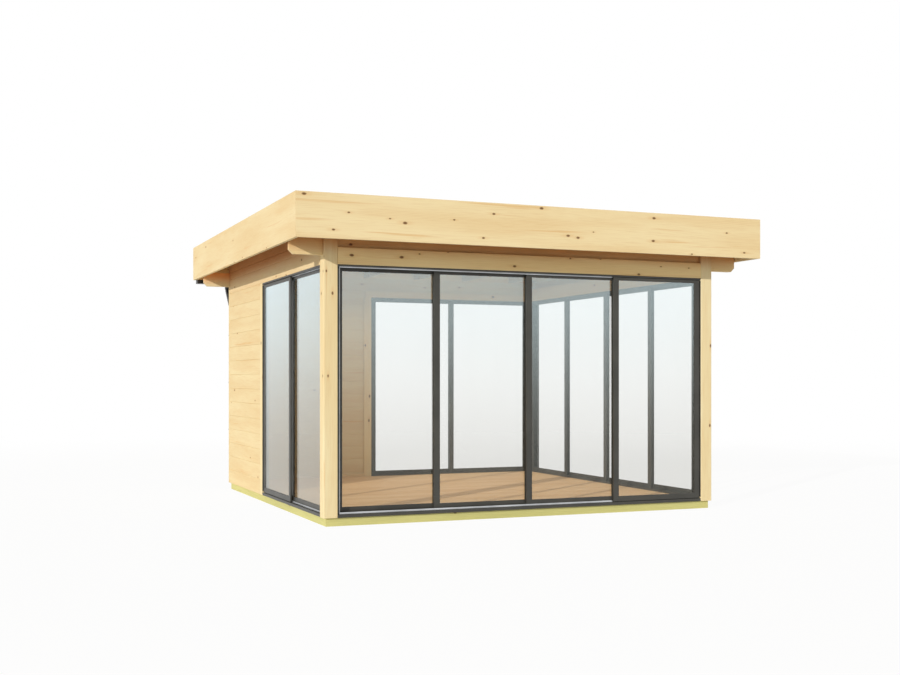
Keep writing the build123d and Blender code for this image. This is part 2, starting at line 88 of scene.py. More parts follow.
class NodeGraph:
    """Adds nodes to one tree, laid out in rows, and joins them."""

    ROW_LENGTH: int = 12
    SPACING: tuple[float, float] = (190.0, 240.0)

    def __init__(self, tree: bpy.types.NodeTree) -> None:
        """Keep the tree that the nodes go into."""
        self.tree = tree

    def add(self, kind: str, **settings: object) -> bpy.types.Node:
        """Add a node.

        Args:
            kind: The node's type name.
            **settings: Properties to set on the node.

        Returns:
            The new node.
        """
        node = self.tree.nodes.new(kind)
        for name, value in settings.items():
            setattr(node, name, value)
        row, column = divmod(len(self.tree.nodes), self.ROW_LENGTH)
        node.location = (self.SPACING[0] * column, -self.SPACING[1] * row)
        return node

    def feed(self, socket: Socket, value: Value) -> None:
        """Link an output to an input, or set the input's own value.

        Args:
            socket: The input.
            value: An output, or the value to set.
        """
        if isinstance(value, Socket):
            self.tree.links.new(value, socket)
        else:
            socket.default_value = value

    def math(self, operation: str, *values: Value) -> Socket:
        """Join values by one arithmetic operation.

        Args:
            operation: The operation's name, such as ADD.
            *values: Sockets or numbers, in order.

        Returns:
            The result's socket.
        """
        node = self.add("ShaderNodeMath", operation=operation)
        for index, value in enumerate(values):
            self.feed(node.inputs[index], value)
        return node.outputs[0]

    def distance(self, first: Value, second: Value) -> Socket:
        """The distance over two legs at right angles.

        Args:
            first: One leg.
            second: The other leg.

        Returns:
            The distance's socket.
        """
        squares = self.math("ADD", self.math("POWER", first, 2.0), self.math("POWER", second, 2.0))
        return self.math("SQRT", squares)

    def vector(self, x: Value, y: Value, z: Value) -> Socket:
        """Combine three numbers into a vector.

        Args:
            x: The first number.
            y: The second number.
            z: The third number.

        Returns:
            The vector's socket.
        """
        node = self.add("ShaderNodeCombineXYZ")
        for index, value in enumerate((x, y, z)):
            self.feed(node.inputs[index], value)
        return node.outputs[0]

    def split(self, vector: Socket) -> list[Socket]:
        """Split a vector into its three numbers.

        Args:
            vector: The vector.

        Returns:
            The sockets of the three numbers.
        """
        node = self.add("ShaderNodeSeparateXYZ")
        self.feed(node.inputs[0], vector)
        return list(node.outputs)

    def remap(self, value: Value, low: Value, high: Value, out_low: float = 0.0,
              out_high: float = 1.0) -> Socket:
        """Map a range smoothly onto another, clamped at both ends.

        Args:
            value: The number to map.
            low: Where the range starts.
            high: Where the range ends.
            out_low: What the start becomes.
            out_high: What the end becomes.

        Returns:
            The mapped number's socket.
        """
        node = self.add("ShaderNodeMapRange", interpolation_type="SMOOTHSTEP", clamp=True)
        for index, item in enumerate((value, low, high, out_low, out_high)):
            self.feed(node.inputs[index], item)
        return node.outputs[0]

    def blend(self, share: Value, first: Value, second: Value, mode: str = "MIX") -> Socket:
        """Mix two colours.

        Args:
            share: The share of the second colour.
            first: The first colour.
            second: The second colour.
            mode: How they mix, such as MIX or MULTIPLY.

        Returns:
            The mixed colour's socket.
        """
        node = self.add("ShaderNodeMix", data_type="RGBA", blend_type=mode)
        self.feed(node.inputs[0], share)
        for socket, value in ((node.inputs[6], first), (node.inputs[7], second)):
            self.feed(socket, value if isinstance(value, Socket) else (*value, 1.0))
        return node.outputs[2]

    def noise(self, vector: Socket, detail: float, scale: float = 1.0) -> Socket:
        """A noise value at a place.

        Args:
            vector: The place.
            detail: How many finer layers are added.
            scale: How often the noise repeats in a metre.

        Returns:
            The noise value's socket, from 0 to 1.
        """
        node = self.add("ShaderNodeTexNoise")
        self.feed(node.inputs["Vector"], vector)
        self.feed(node.inputs["Scale"], scale)
        self.feed(node.inputs["Detail"], detail)
        return node.outputs[0]

    def bump(self, height: Socket, strength: float, distance: float) -> Socket:
        """A normal that follows a height.

        Args:
            height: The height value.
            strength: How strongly it shows.
            distance: How high a height of one is, in metres.

        Returns:
            The normal's socket.
        """
        node = self.add("ShaderNodeBump")
        self.feed(node.inputs["Strength"], strength)
        self.feed(node.inputs["Distance"], distance)
        self.feed(node.inputs["Height"], height)
        return node.outputs[0]


def new_material(name: str) -> tuple[Material, NodeGraph, bpy.types.Node]:
    """Start a material.

    Args:
        name: The material's name.

    Returns:
        The material, the graph of its nodes and its main shader.
    """
    material = bpy.data.materials.new(name)
    material.use_nodes = True
    return material, NodeGraph(material.node_tree), material.node_tree.nodes["Principled BSDF"]


def object_point(graph: NodeGraph) -> Socket:
    """The place on the piece, in the frame of the solids."""
    return graph.add("ShaderNodeTexCoord").outputs["Object"]


def join_shaders(material: Material, graph: NodeGraph, share: Socket, first: Socket, second: Socket) -> None:
    """Show a mix of two shaders on a material.

    Args:
        material: The material.
        graph: The graph of its nodes.
        share: The share of the second shader.
        first: The first shader.
        second: The second shader.
    """
    joined = graph.add("ShaderNodeMixShader")
    for index, value in enumerate((share, first, second)):
        graph.feed(joined.inputs[index], value)
    graph.feed(material.node_tree.nodes["Material Output"].inputs["Surface"], joined.outputs[0])


@dataclass(frozen=True)
class GrainPlace:
    """A place as the grain sees it: along it, across it, and with a number of the log's own."""

    along: Socket
    across: Socket
    own: Value

    def noise(self, graph: NodeGraph, along_rate: float, across_rate: float, detail: float,
              shift: float = 0.0) -> Socket:
        """Noise that is drawn out along the grain.

        Args:
            graph: The material's graph.
            along_rate: How often the noise changes in a metre along the grain.
            across_rate: How often it changes in a metre across the grain.
            detail: How many finer layers are added.
            shift: What sets it apart from the log's other noises.

        Returns:
            The noise value's socket, from 0 to 1.
        """
        own = graph.math("ADD", self.own, shift) if shift else self.own
        along = graph.math("MULTIPLY", self.along, along_rate)
        across = graph.math("MULTIPLY", self.across, across_rate)
        return graph.noise(graph.vector(along, across, own), detail)


@dataclass(frozen=True)
class TimberFinish:
    """Planed softwood with growth lines, amber streaks and small dark knots.

    A noise is given as its rate along the grain, its rate across it, its detail and its shift. A
    range is given as the values at which what it rules starts and ends.
    """

    name: str
    grain: Grain
    seed: float = 0.0
    pale: Colour = (0.85, 0.695, 0.42)
    honey: Colour = (0.80, 0.60, 0.33)
    line: Colour = (0.70, 0.48, 0.23)
    amber: Colour = (0.72, 0.43, 0.17)
    knot: Colour = (0.20, 0.105, 0.045)
    broad_noise: tuple[float, ...] = (0.9, 8.0, 3.0)
    fine_noise: tuple[float, ...] = (6.0, 170.0, 4.0)
    warp_noise: tuple[float, ...] = (0.55, 3.0, 2.0, 5.3)
    streak_noise: tuple[float, ...] = (1.1, 30.0, 2.0, 9.1)
    ragged_noise: tuple[float, ...] = (150.0, 150.0, 3.0)
    honey_range: tuple[float, float] = (0.3, 0.72)
    ring_range: tuple[float, float] = (0.35, 0.7)
    fine_range: tuple[float, float] = (0.45, 0.75)
    gloss_range: tuple[float, float] = (0.3, 0.7)
    streak_range: tuple[float, float] = (0.63, 0.78)
    honey_share: float = 0.8
    tone_share: float = 0.22
    ring_share: float = 0.34
    fine_share: float = 0.3
    streak_share: float = 0.55
    stain_share: float = 0.3
    ring_rate: float = 560.0
    ring_warp: float = 46.0
    ring_sharpness: float = 2.5
    ring_height_share: float = 0.6
    grain_height: float = 0.0006
    grain_strength: float = 0.25
    roughness: tuple[float, float] = (0.56, 0.72)
    specular: float = 0.25
    knot_share: float = 0.55
    knot_along: float = 2.3
    knot_across: float = 5.5
    knot_seed_share: float = 1.9
    knot_radius: float = 0.004
    knot_growth: float = 0.006
    knot_ragged: float = 0.006
    knot_stretch: float = 1.7
    stain_stretch: float = 4.0
    core_share: float = 0.6
    knot_edge_share: float = 1.4
    stain_edge_share: float = 2.6
    side_facing: float = 0.5
    course: float = 0.0
    course_start: float = 0.0
    course_axis: int = 2
    log_shift: float = 1.37
    log_change: float = 3.17
    # Painted shade under the eaves: where a tint is given, outer faces are multiplied by it, from none at the
    # lower height to full at the upper one.
    painted_shade_tint: Colour | None = None
    painted_shade_from: float = 2.04
    painted_shade_to: float = 2.20
    room_half_width: float = 1.735
    room_front: float = -1.70
    room_rear: float = 1.66

    def place(self, graph: NodeGraph) -> GrainPlace:
        """Where a point of the surface lies in the grain.

        Args:
            graph: The material's graph.

        Returns:
            The place as the grain sees it.
        """
        x, y, z = graph.split(object_point(graph))
        if self.grain is Grain.ALONG_X:
            along, across = x, graph.math("ADD", y, z)
        elif self.grain is Grain.ALONG_Y:
            along, across = y, graph.math("ADD", x, z)
        elif self.grain is Grain.ALONG_Z:
            along, across = z, graph.math("ADD", x, y)
        else:
            normal = graph.split(graph.add("ShaderNodeNewGeometry").outputs["Normal"])
            sideways = graph.math("GREATER_THAN", graph.math("ABSOLUTE", normal[0]), self.side_facing)
            along = graph.math("MULTIPLY_ADD", graph.math("SUBTRACT", y, x), sideways, x)
            across = graph.math("ADD", z, graph.math("SUBTRACT", graph.math("ADD", x, y), along))
        if not self.course:
            return GrainPlace(along, across, self.seed)
        level = graph.math("SUBTRACT", (x, y, z)[self.course_axis], self.course_start)
        count = graph.math("FLOOR", graph.math("DIVIDE", level, self.course))
        own = graph.math("MULTIPLY_ADD", count, self.log_change, self.seed)
        return GrainPlace(graph.math("MULTIPLY_ADD", count, self.log_shift, along), across, own)

    def knots(self, graph: NodeGraph, place: GrainPlace) -> tuple[Socket, Socket]:
        """Where the knots are.

        Args:
            graph: The material's graph.
            place: The place as the grain sees it.

        Returns:
            The share of knot and the share of stained wood round it.
        """
        u = graph.math("MULTIPLY_ADD", place.along, self.knot_along, place.own)
        v = graph.math("MULTIPLY_ADD", place.across, self.knot_across, self.seed * self.knot_seed_share)
        cells = graph.add("ShaderNodeTexVoronoi", voronoi_dimensions="2D")
        graph.feed(cells.inputs["Vector"], graph.vector(u, v, 0.0))
        graph.feed(cells.inputs["Scale"], 1.0)
        chance, size, _ = graph.split(cells.outputs["Color"])
        centre = graph.split(cells.outputs["Position"])
        off_along = graph.math("DIVIDE", graph.math("SUBTRACT", centre[0], u), self.knot_along)
        off_across = graph.math("DIVIDE", graph.math("SUBTRACT", centre[1], v), self.knot_across)
        ragged = place.noise(graph, *self.ragged_noise)
        ragged = graph.math("MULTIPLY_ADD", ragged, self.knot_ragged, -self.knot_ragged / 2)
        near = graph.distance(graph.math("DIVIDE", off_along, self.knot_stretch), off_across)
        near = graph.math("ADD", near, ragged)
        tail = graph.distance(graph.math("DIVIDE", off_along, self.stain_stretch), off_across)
        radius = graph.math("MULTIPLY_ADD", size, self.knot_growth, self.knot_radius)
        core = graph.math("MULTIPLY", radius, self.core_share)
        shown = graph.math("LESS_THAN", chance, self.knot_share)
        heart = graph.remap(near, core, graph.math("MULTIPLY", radius, self.knot_edge_share), 1.0, 0.0)
        stain = graph.remap(tail, core, graph.math("MULTIPLY", radius, self.stain_edge_share), 1.0, 0.0)
        return graph.math("MULTIPLY", heart, shown), graph.math("MULTIPLY", stain, shown)

    def paint_eave_shade(self, graph: NodeGraph, colour: Socket) -> Socket:
        """Paint shade on the outer faces under the eaves, darker and warmer towards the top.

        Args:
            graph: The material's graph.
            colour: The timber's colour.

        Returns:
            The tinted colour's socket.
        """
        x, y, z = graph.split(object_point(graph))
        side = graph.math("GREATER_THAN", graph.math("ABSOLUTE", x), self.room_half_width)
        front = graph.math("LESS_THAN", y, self.room_front)
        rear = graph.math("GREATER_THAN", y, self.room_rear)
        outside = graph.math("MAXIMUM", side, graph.math("MAXIMUM", front, rear))
        share = graph.math("MULTIPLY", outside, graph.remap(z, self.painted_shade_from, self.painted_shade_to))
        return graph.blend(share, colour, self.painted_shade_tint, "MULTIPLY")

    def material(self) -> Material:
        """Build the finish as a material.

        Returns:
            The material.
        """
        material, graph, shader = new_material(self.name)
        place = self.place(graph)
        broad = place.noise(graph, *self.broad_noise)
        fine = place.noise(graph, *self.fine_noise)
        warp = place.noise(graph, *self.warp_noise)
        streaks = place.noise(graph, *self.streak_noise)
        warp = graph.math("MULTIPLY", warp, self.ring_warp)
        phase = graph.math("MULTIPLY_ADD", place.across, self.ring_rate, warp)
        wave = graph.math("MULTIPLY_ADD", graph.math("SINE", phase), 0.5, 0.5)
        ring = graph.math("POWER", wave, self.ring_sharpness)
        ring = graph.math("MULTIPLY", ring, graph.remap(broad, *self.ring_range))
        knot, stain = self.knots(graph, place)
        tone = graph.add("ShaderNodeTexWhiteNoise", noise_dimensions="1D")
        graph.feed(tone.inputs["W"], place.own)
        body = graph.remap(broad, *self.honey_range, 0.0, self.honey_share)
        body = graph.math("MULTIPLY_ADD", tone.outputs["Value"], self.tone_share, body)
        colour = graph.blend(body, self.pale, self.honey)
        layers = (
            (graph.math("MULTIPLY", ring, self.ring_share), self.line),
            (graph.remap(fine, *self.fine_range, 0.0, self.fine_share), self.line),
            (graph.remap(streaks, *self.streak_range, 0.0, self.streak_share), self.amber),
            (graph.math("MULTIPLY", stain, self.stain_share), self.amber),
            (knot, self.knot),
        )
        for share, layer in layers:
            colour = graph.blend(share, colour, layer)
        # Painted shade under the eaves, where the finish has it.
        if self.painted_shade_tint is not None:
            colour = self.paint_eave_shade(graph, colour)
        graph.feed(shader.inputs["Base Color"], colour)
        graph.feed(shader.inputs["Roughness"], graph.remap(fine, *self.gloss_range, *self.roughness))
        shader.inputs["Specular IOR Level"].default_value = self.specular
        height = graph.math("ADD", fine, graph.math("MULTIPLY", ring, self.ring_height_share))
        graph.feed(shader.inputs["Normal"], graph.bump(height, self.grain_strength, self.grain_height))
        return material


@dataclass(frozen=True)
class CoatedMetalFinish:
    """Aluminium under a fine powder coat, or bare where metallic is near one."""

    name: str
    colour: Colour
    roughness: float = 0.45
    metallic: float = 0.0
    light_share: float = 1.16
    dark_share: float = 0.86
    smoother: float = 0.06
    rougher: float = 0.08
    noise_detail: float = 2.0
    noise_range: tuple[float, float] = (0.3, 0.7)
    cloud_rate: float = 5.0
    grit_rate: float = 1400.0
    grit_height: float = 0.0002
    grit_strength: float = 0.08

    def material(self) -> Material:
        """Build the finish as a material.

        Returns:
            The material.
        """
        material, graph, shader = new_material(self.name)
        point = object_point(graph)
        grit = graph.noise(point, self.noise_detail, self.grit_rate)
        cloud = graph.noise(point, self.noise_detail, self.cloud_rate)
        light = tuple(min(1.0, part * self.light_share) for part in self.colour)
        dark = tuple(part * self.dark_share for part in self.colour)
        share = graph.remap(cloud, *self.noise_range)
        graph.feed(shader.inputs["Base Color"], graph.blend(share, dark, light))
        low, high = self.roughness - self.smoother, self.roughness + self.rougher
        graph.feed(shader.inputs["Roughness"], graph.remap(grit, *self.noise_range, low, high))
        shader.inputs["Metallic"].default_value = self.metallic
        graph.feed(shader.inputs["Normal"], graph.bump(grit, self.grit_strength, self.grit_height))
        return material


@dataclass(frozen=True)
class MouldedFinish:
    """Moulded plastic or rubber with a faint mottle and a little dust."""

    name: str
    colour: Colour
    roughness: float
    smoother: float = 0.08
    rougher: float = 0.1
    dust_share: float = 1.7
    dust_lift: float = 0.008
    dust_rate: float = 9.0
    dust_detail: float = 4.0
    dust_range: tuple[float, float] = (0.45, 0.8)
    mottle_rate: float = 60.0
    mottle_detail: float = 3.0
    mottle_range: tuple[float, float] = (0.3, 0.7)
    mottle_height: float = 0.0004
    mottle_strength: float = 0.05

    def material(self) -> Material:
        """Build the finish as a material.

        Returns:
            The material.
        """
        material, graph, shader = new_material(self.name)
        point = object_point(graph)
        mottle = graph.noise(point, self.mottle_detail, self.mottle_rate)
        dust = graph.noise(point, self.dust_detail, self.dust_rate)
        light = tuple(part * self.dust_share + self.dust_lift for part in self.colour)
        share = graph.remap(dust, *self.dust_range)
        graph.feed(shader.inputs["Base Color"], graph.blend(share, self.colour, light))
        low, high = self.roughness - self.smoother, self.roughness + self.rougher
        graph.feed(shader.inputs["Roughness"], graph.remap(mottle, *self.mottle_range, low, high))
        graph.feed(shader.inputs["Normal"], graph.bump(mottle, self.mottle_strength, self.mottle_height))
        return material


@dataclass(frozen=True)
class FeltFinish:
    """Mineral roofing felt: dark granules in bitumen, paler where it has weathered."""

    name: str = "mineral_felt"
    bitumen: Colour = (0.028, 0.029, 0.031)
    granule: Colour = (0.085, 0.086, 0.09)
    weathered: Colour = (0.11, 0.108, 0.1)
    weathered_share: float = 0.35
    weather_rate: float = 2.2
    weather_detail: float = 4.0
    weather_range: tuple[float, float] = (0.4, 0.75)
    granule_rate: float = 420.0
    granule_height: float = 0.0008
    granule_strength: float = 0.4
    roughness: float = 0.92

    def material(self) -> Material:
        """Build the finish as a material.

        Returns:
            The material.
        """
        material, graph, shader = new_material(self.name)
        point = object_point(graph)
        grains = graph.add("ShaderNodeTexVoronoi")
        graph.feed(grains.inputs["Vector"], point)
        graph.feed(grains.inputs["Scale"], self.granule_rate)
        shade = graph.split(grains.outputs["Color"])[0]
        cloud = graph.noise(point, self.weather_detail, self.weather_rate)
        share = graph.remap(cloud, *self.weather_range, 0.0, self.weathered_share)
        colour = graph.blend(shade, self.bitumen, self.granule)
        graph.feed(shader.inputs["Base Color"], graph.blend(share, colour, self.weathered))
        shader.inputs["Roughness"].default_value = self.roughness
        bump = graph.bump(grains.outputs["Distance"], self.granule_strength, self.granule_height)
        graph.feed(shader.inputs["Normal"], bump)
        return material


@dataclass(frozen=True)
class GlassFinish:
    """Clear glass that lets light straight through and, from outside, shows a painted reflection of sky above
    and ground below.
    """

    name: str = "clear_glass"
    low_tint: Colour = (0.950, 0.950, 0.944)
    high_tint: Colour = (0.994, 0.994, 0.990)
    painted_shade_low: float = 0.1
    painted_shade_high: float = 1.3
    ground: Colour = (0.54, 0.55, 0.50)
    sky: Colour = (0.765, 0.92, 0.955)
    ground_height: float = 0.3
    sky_height: float = 2.1
    low_veil: float = 0.055
    high_veil: float = 0.215
    grazing_veil: float = 1.6
    grazing_power: float = 5.0
    inside_veil: float = 0.008
    most_veil: float = 0.9
    roughness: float = 0.05

    def material(self) -> Material:
        """Build the finish as a material.

        Returns:
            The material.
        """
        material, graph, shader = new_material(self.name)
        x, y, z = graph.split(object_point(graph))
        clear = graph.add("ShaderNodeBsdfTransparent")
        # Painted shade: what is seen through the panes is tinted darker towards their bottom.
        dust = graph.remap(z, self.painted_shade_low, self.painted_shade_high)
        graph.feed(clear.inputs["Color"], graph.blend(dust, self.low_tint, self.high_tint))
        # Painted reflection: the mirror's colour goes from a ground tone low down to a sky tone high up.
        level = graph.remap(z, self.ground_height, self.sky_height)
        graph.feed(shader.inputs["Base Color"], graph.blend(level, self.ground, self.sky))
        shader.inputs["Metallic"].default_value = 1.0
        shader.inputs["Roughness"].default_value = self.roughness
        slant = graph.add("ShaderNodeLayerWeight").outputs["Facing"]
        grazing = graph.math("POWER", slant, self.grazing_power)
        normal = graph.split(graph.add("ShaderNodeNewGeometry").outputs["Normal"])
        facing = graph.math("MULTIPLY_ADD", x, normal[0], graph.math("MULTIPLY", y, normal[1]))
        outside = graph.math("GREATER_THAN", facing, 0.0)
        # Painted reflection: its share grows with height and at grazing angles, and is almost nil for rays
        # from inside.
        veil = graph.remap(z, self.ground_height, self.sky_height, self.low_veil, self.high_veil)
        veil = graph.math("MULTIPLY_ADD", grazing, self.grazing_veil, veil)
        share = graph.math("MULTIPLY_ADD", veil, outside, self.inside_veil)
        share = graph.math("MINIMUM", share, self.most_veil)
        join_shaders(material, graph, share, clear.outputs[0], shader.outputs[0])
        return material


class GeometryTree:
    """A geometry node tree with named inputs that ends in real meshes with a material."""

    def __init__(self, name: str, material: Material) -> None:
        """Start the tree.

        Args:
            name: The tree's name.
            material: The finish of what it makes.
        """
        self.group = bpy.data.node_groups.new(name, "GeometryNodeTree")
        self.graph = NodeGraph(self.group)
        self.sockets: dict[str, str] = {}
        self.group.interface.new_socket("Geometry", in_out="INPUT", socket_type="NodeSocketGeometry")
        self.group.interface.new_socket("Geometry", in_out="OUTPUT", socket_type="NodeSocketGeometry")
        self.material = material
        self.entry = self.graph.add("NodeGroupInput")

    def named(self, name: str, kind: str) -> Socket:
        """Add a named input.

        Args:
            name: The input's name.
            kind: The socket's type name.

        Returns:
            The socket inside the tree.
        """
        socket = self.group.interface.new_socket(name, in_out="INPUT", socket_type=kind)
        self.sockets[name] = socket.identifier
        return self.entry.outputs[name]

    def close(self, geometry: Socket) -> None:
        """End the tree: make instances real and give them the finish.

        Args:
            geometry: What the tree makes.
        """
        real = self.graph.add("GeometryNodeRealizeInstances")
        self.graph.feed(real.inputs[0], geometry)
        dressed = self.graph.add("GeometryNodeSetMaterial")
        self.graph.feed(dressed.inputs["Geometry"], real.outputs[0])
        dressed.inputs["Material"].default_value = self.material
        leave = self.graph.add("NodeGroupOutput")
        self.graph.feed(leave.inputs[0], dressed.outputs[0])

    def run(self, piece: Piece, **values: object) -> None:
        """Replace a piece's mesh by the plain mesh that the tree makes of it.

        Args:
            piece: The piece.
            **values: The named inputs.
        """
        modifier = piece.modifiers.new(self.group.name, "NODES")
        modifier.node_group = self.group
        for name, value in values.items():
            modifier[self.sockets[name]] = value
        graph = bpy.context.evaluated_depsgraph_get()
        mesh = bpy.data.meshes.new_from_object(piece.evaluated_get(graph), depsgraph=graph)
        piece.modifiers.remove(modifier)
        piece.data = mesh
        mesh.name = piece.name


class RowTree(GeometryTree):
    """Repeats a piece's own mesh along a straight row."""

    def __init__(self, name: str, material: Material) -> None:
        """Build the tree with the inputs Count, Step, Stray and Seed.

        Args:
            name: The tree's name.
            material: The finish of what it makes.
        """
        super().__init__(name, material)
        count = self.named("Count", "NodeSocketInt")
        step = self.named("Step", "NodeSocketVector")
        stray = self.named("Stray", "NodeSocketVector")
        seed = self.named("Seed", "NodeSocketInt")
        row = self.graph.add("GeometryNodeMeshLine", mode="OFFSET")
        self.graph.feed(row.inputs["Count"], count)
        self.graph.feed(row.inputs["Offset"], step)
        chance = self.graph.add("FunctionNodeRandomValue", data_type="FLOAT_VECTOR")
        self.graph.feed(chance.inputs[0], (-1.0, -1.0, -1.0))
        self.graph.feed(chance.inputs["Seed"], seed)
        shift = self.graph.add("ShaderNodeVectorMath", operation="MULTIPLY")
        self.graph.feed(shift.inputs[0], chance.outputs[0])
        self.graph.feed(shift.inputs[1], stray)
        moved = self.graph.add("GeometryNodeSetPosition")
        self.graph.feed(moved.inputs["Geometry"], row.outputs[0])
        self.graph.feed(moved.inputs["Offset"], shift.outputs[0])
        copies = self.graph.add("GeometryNodeInstanceOnPoints")
        self.graph.feed(copies.inputs["Points"], moved.outputs[0])
        self.graph.feed(copies.inputs["Instance"], self.entry.outputs["Geometry"])
        self.close(copies.outputs[0])


class PointTree(GeometryTree):
    """Puts a small part on every point of a piece's mesh."""

    def __init__(self, name: str, material: Material) -> None:
        """Build the tree with the input Part.

        Args:
            name: The tree's name.
            material: The finish of what it makes.
        """
        super().__init__(name, material)
        part = self.named("Part", "NodeSocketObject")
        shape = self.graph.add("GeometryNodeObjectInfo")
        self.graph.feed(shape.inputs["Object"], part)
        copies = self.graph.add("GeometryNodeInstanceOnPoints")
        self.graph.feed(copies.inputs["Points"], self.entry.outputs["Geometry"])
        self.graph.feed(copies.inputs["Instance"], shape.outputs["Geometry"])
        self.close(copies.outputs[0])


class BeadTree(GeometryTree):
    """Lays a bead with a square section along the edges of a piece's mesh."""

    def __init__(self, name: str, material: Material) -> None:
        """Build the tree with the inputs Width and Height.

        Args:
            name: The tree's name.
            material: The finish of what it makes.
        """
        super().__init__(name, material)
        width = self.named("Width", "NodeSocketFloat")
        height = self.named("Height", "NodeSocketFloat")
        path = self.graph.add("GeometryNodeMeshToCurve")
        self.graph.feed(path.inputs[0], self.entry.outputs["Geometry"])
        profile = self.graph.add("GeometryNodeCurvePrimitiveQuadrilateral")
        self.graph.feed(profile.inputs["Width"], width)
        self.graph.feed(profile.inputs["Height"], height)
        bead = self.graph.add("GeometryNodeCurveToMesh")
        self.graph.feed(bead.inputs["Curve"], path.outputs[0])
        self.graph.feed(bead.inputs["Profile Curve"], profile.outputs[0])
        self.graph.feed(bead.inputs["Fill Caps"], True)
        self.close(bead.outputs[0])


def show(name: str, mesh: Mesh, material: Material | None = None) -> Piece:
    """Put a mesh into the scene.

    Args:
        name: The piece's name.
        mesh: Its mesh, already in place.
        material: Its finish, if it has one yet.

    Returns:
        The new piece.
    """
    piece = bpy.data.objects.new(name, mesh)
    bpy.context.scene.collection.objects.link(piece)
    if material is not None:
        mesh.materials.append(material)
    return piece


def mesh_of(name: str, shape: bmesh.types.BMesh) -> Mesh:
    """Turn a finished shape into a mesh whose faces point outwards.

    Args:
        name: The mesh's name.
        shape: The shape, which is used up.

    Returns:
        The mesh.
    """
    bmesh.ops.recalc_face_normals(shape, faces=shape.faces)
    mesh = bpy.data.meshes.new(name)
    shape.to_mesh(mesh)
    shape.free()
    return mesh


def add_prism(shape: bmesh.types.BMesh, outline: list[Corner], reach: Corner, bevel: float = 0.0) -> None:
    """Add a closed prism to a shape.

    Args:
        shape: The shape in hand.
        outline: The corners of one end.
        reach: The way from that end to the other.
        bevel: The width of the bevel on every edge.
    """
    near = [shape.verts.new(corner) for corner in outline]
    far = [shape.verts.new(Vector(corner) + Vector(reach)) for corner in outline]
    faces = [shape.faces.new(near), shape.faces.new(list(reversed(far)))]
    for index in range(len(near)):
        after = (index + 1) % len(near)
        faces.append(shape.faces.new((near[index], far[index], far[after], near[after])))
    if bevel:
        edges = list({edge for face in faces for edge in face.edges})
        bmesh.ops.bevel(shape, geom=edges, offset=bevel, segments=BEVEL_STEPS,
                        profile=BEVEL_ROUNDNESS, affect="EDGES")


def prism(name: str, outline: list[Corner], reach: Corner) -> Mesh:
    """A mesh of one closed prism.

    Args:
        name: The mesh's name.
        outline: The corners of one end.
        reach: The way from that end to the other.

    Returns:
        The mesh.
    """
    shape = bmesh.new()
    add_prism(shape, outline, reach)
    return mesh_of(name, shape)


def turned(name: str, profile: Profile, sides: int, bore: float = 0.0) -> Mesh:
    """A mesh turned about the upright axis.

    Args:
        name: The mesh's name.
        profile: Radius and height of each point of the profile, beyond the bore.
        sides: How many sides go round.
        bore: A ring's inner radius. A ring's profile runs back into itself.

    Returns:
        The mesh.
    """
    shape = bmesh.new()
    turns = [2.0 * math.pi * index / sides for index in range(sides)]
    rings = []
    for reach, height in profile:
        radius = bore + reach
        spots = [(radius * math.cos(turn), radius * math.sin(turn), height) for turn in turns]
        if radius == 0.0:
            spots = [(0.0, 0.0, height)]
        rings.append([shape.verts.new(spot) for spot in spots])
    pairs = list(zip(rings, rings[1:]))
    if bore:
        pairs.append((rings[-1], rings[0]))
    for lower, upper in pairs:
        for index in range(sides):
            after = (index + 1) % sides
            corners = [lower[index % len(lower)], lower[after % len(lower)]]
            corners += [upper[after % len(upper)], upper[index % len(upper)]]
            shape.faces.new(list(dict.fromkeys(corners)))
    return mesh_of(name, shape)


def settle(piece: Piece, body: str, slot: str, *nodes: str) -> None:
    """Fix a piece to its body.

    Args:
        piece: The finished piece.
        body: The body that it moves with.
        slot: The record's material slot of its finish. It is not used.
        *nodes: The solids that it stands for.
    """
    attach(piece, body)
    if nodes:
        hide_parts(*nodes)
    LOG.info("%s rides %s with %d faces", piece.name, body, len(piece.data.polygons))


def dress(node: str, material: Material) -> None:
    """Give a solid its finish.

    Args:
        node: The solid's name.
        material: The finish.
    """
    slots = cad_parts[node].data.materials
    slots.clear()
    slots.append(material)
    LOG.info("%s is finished in %s", node, material.name)


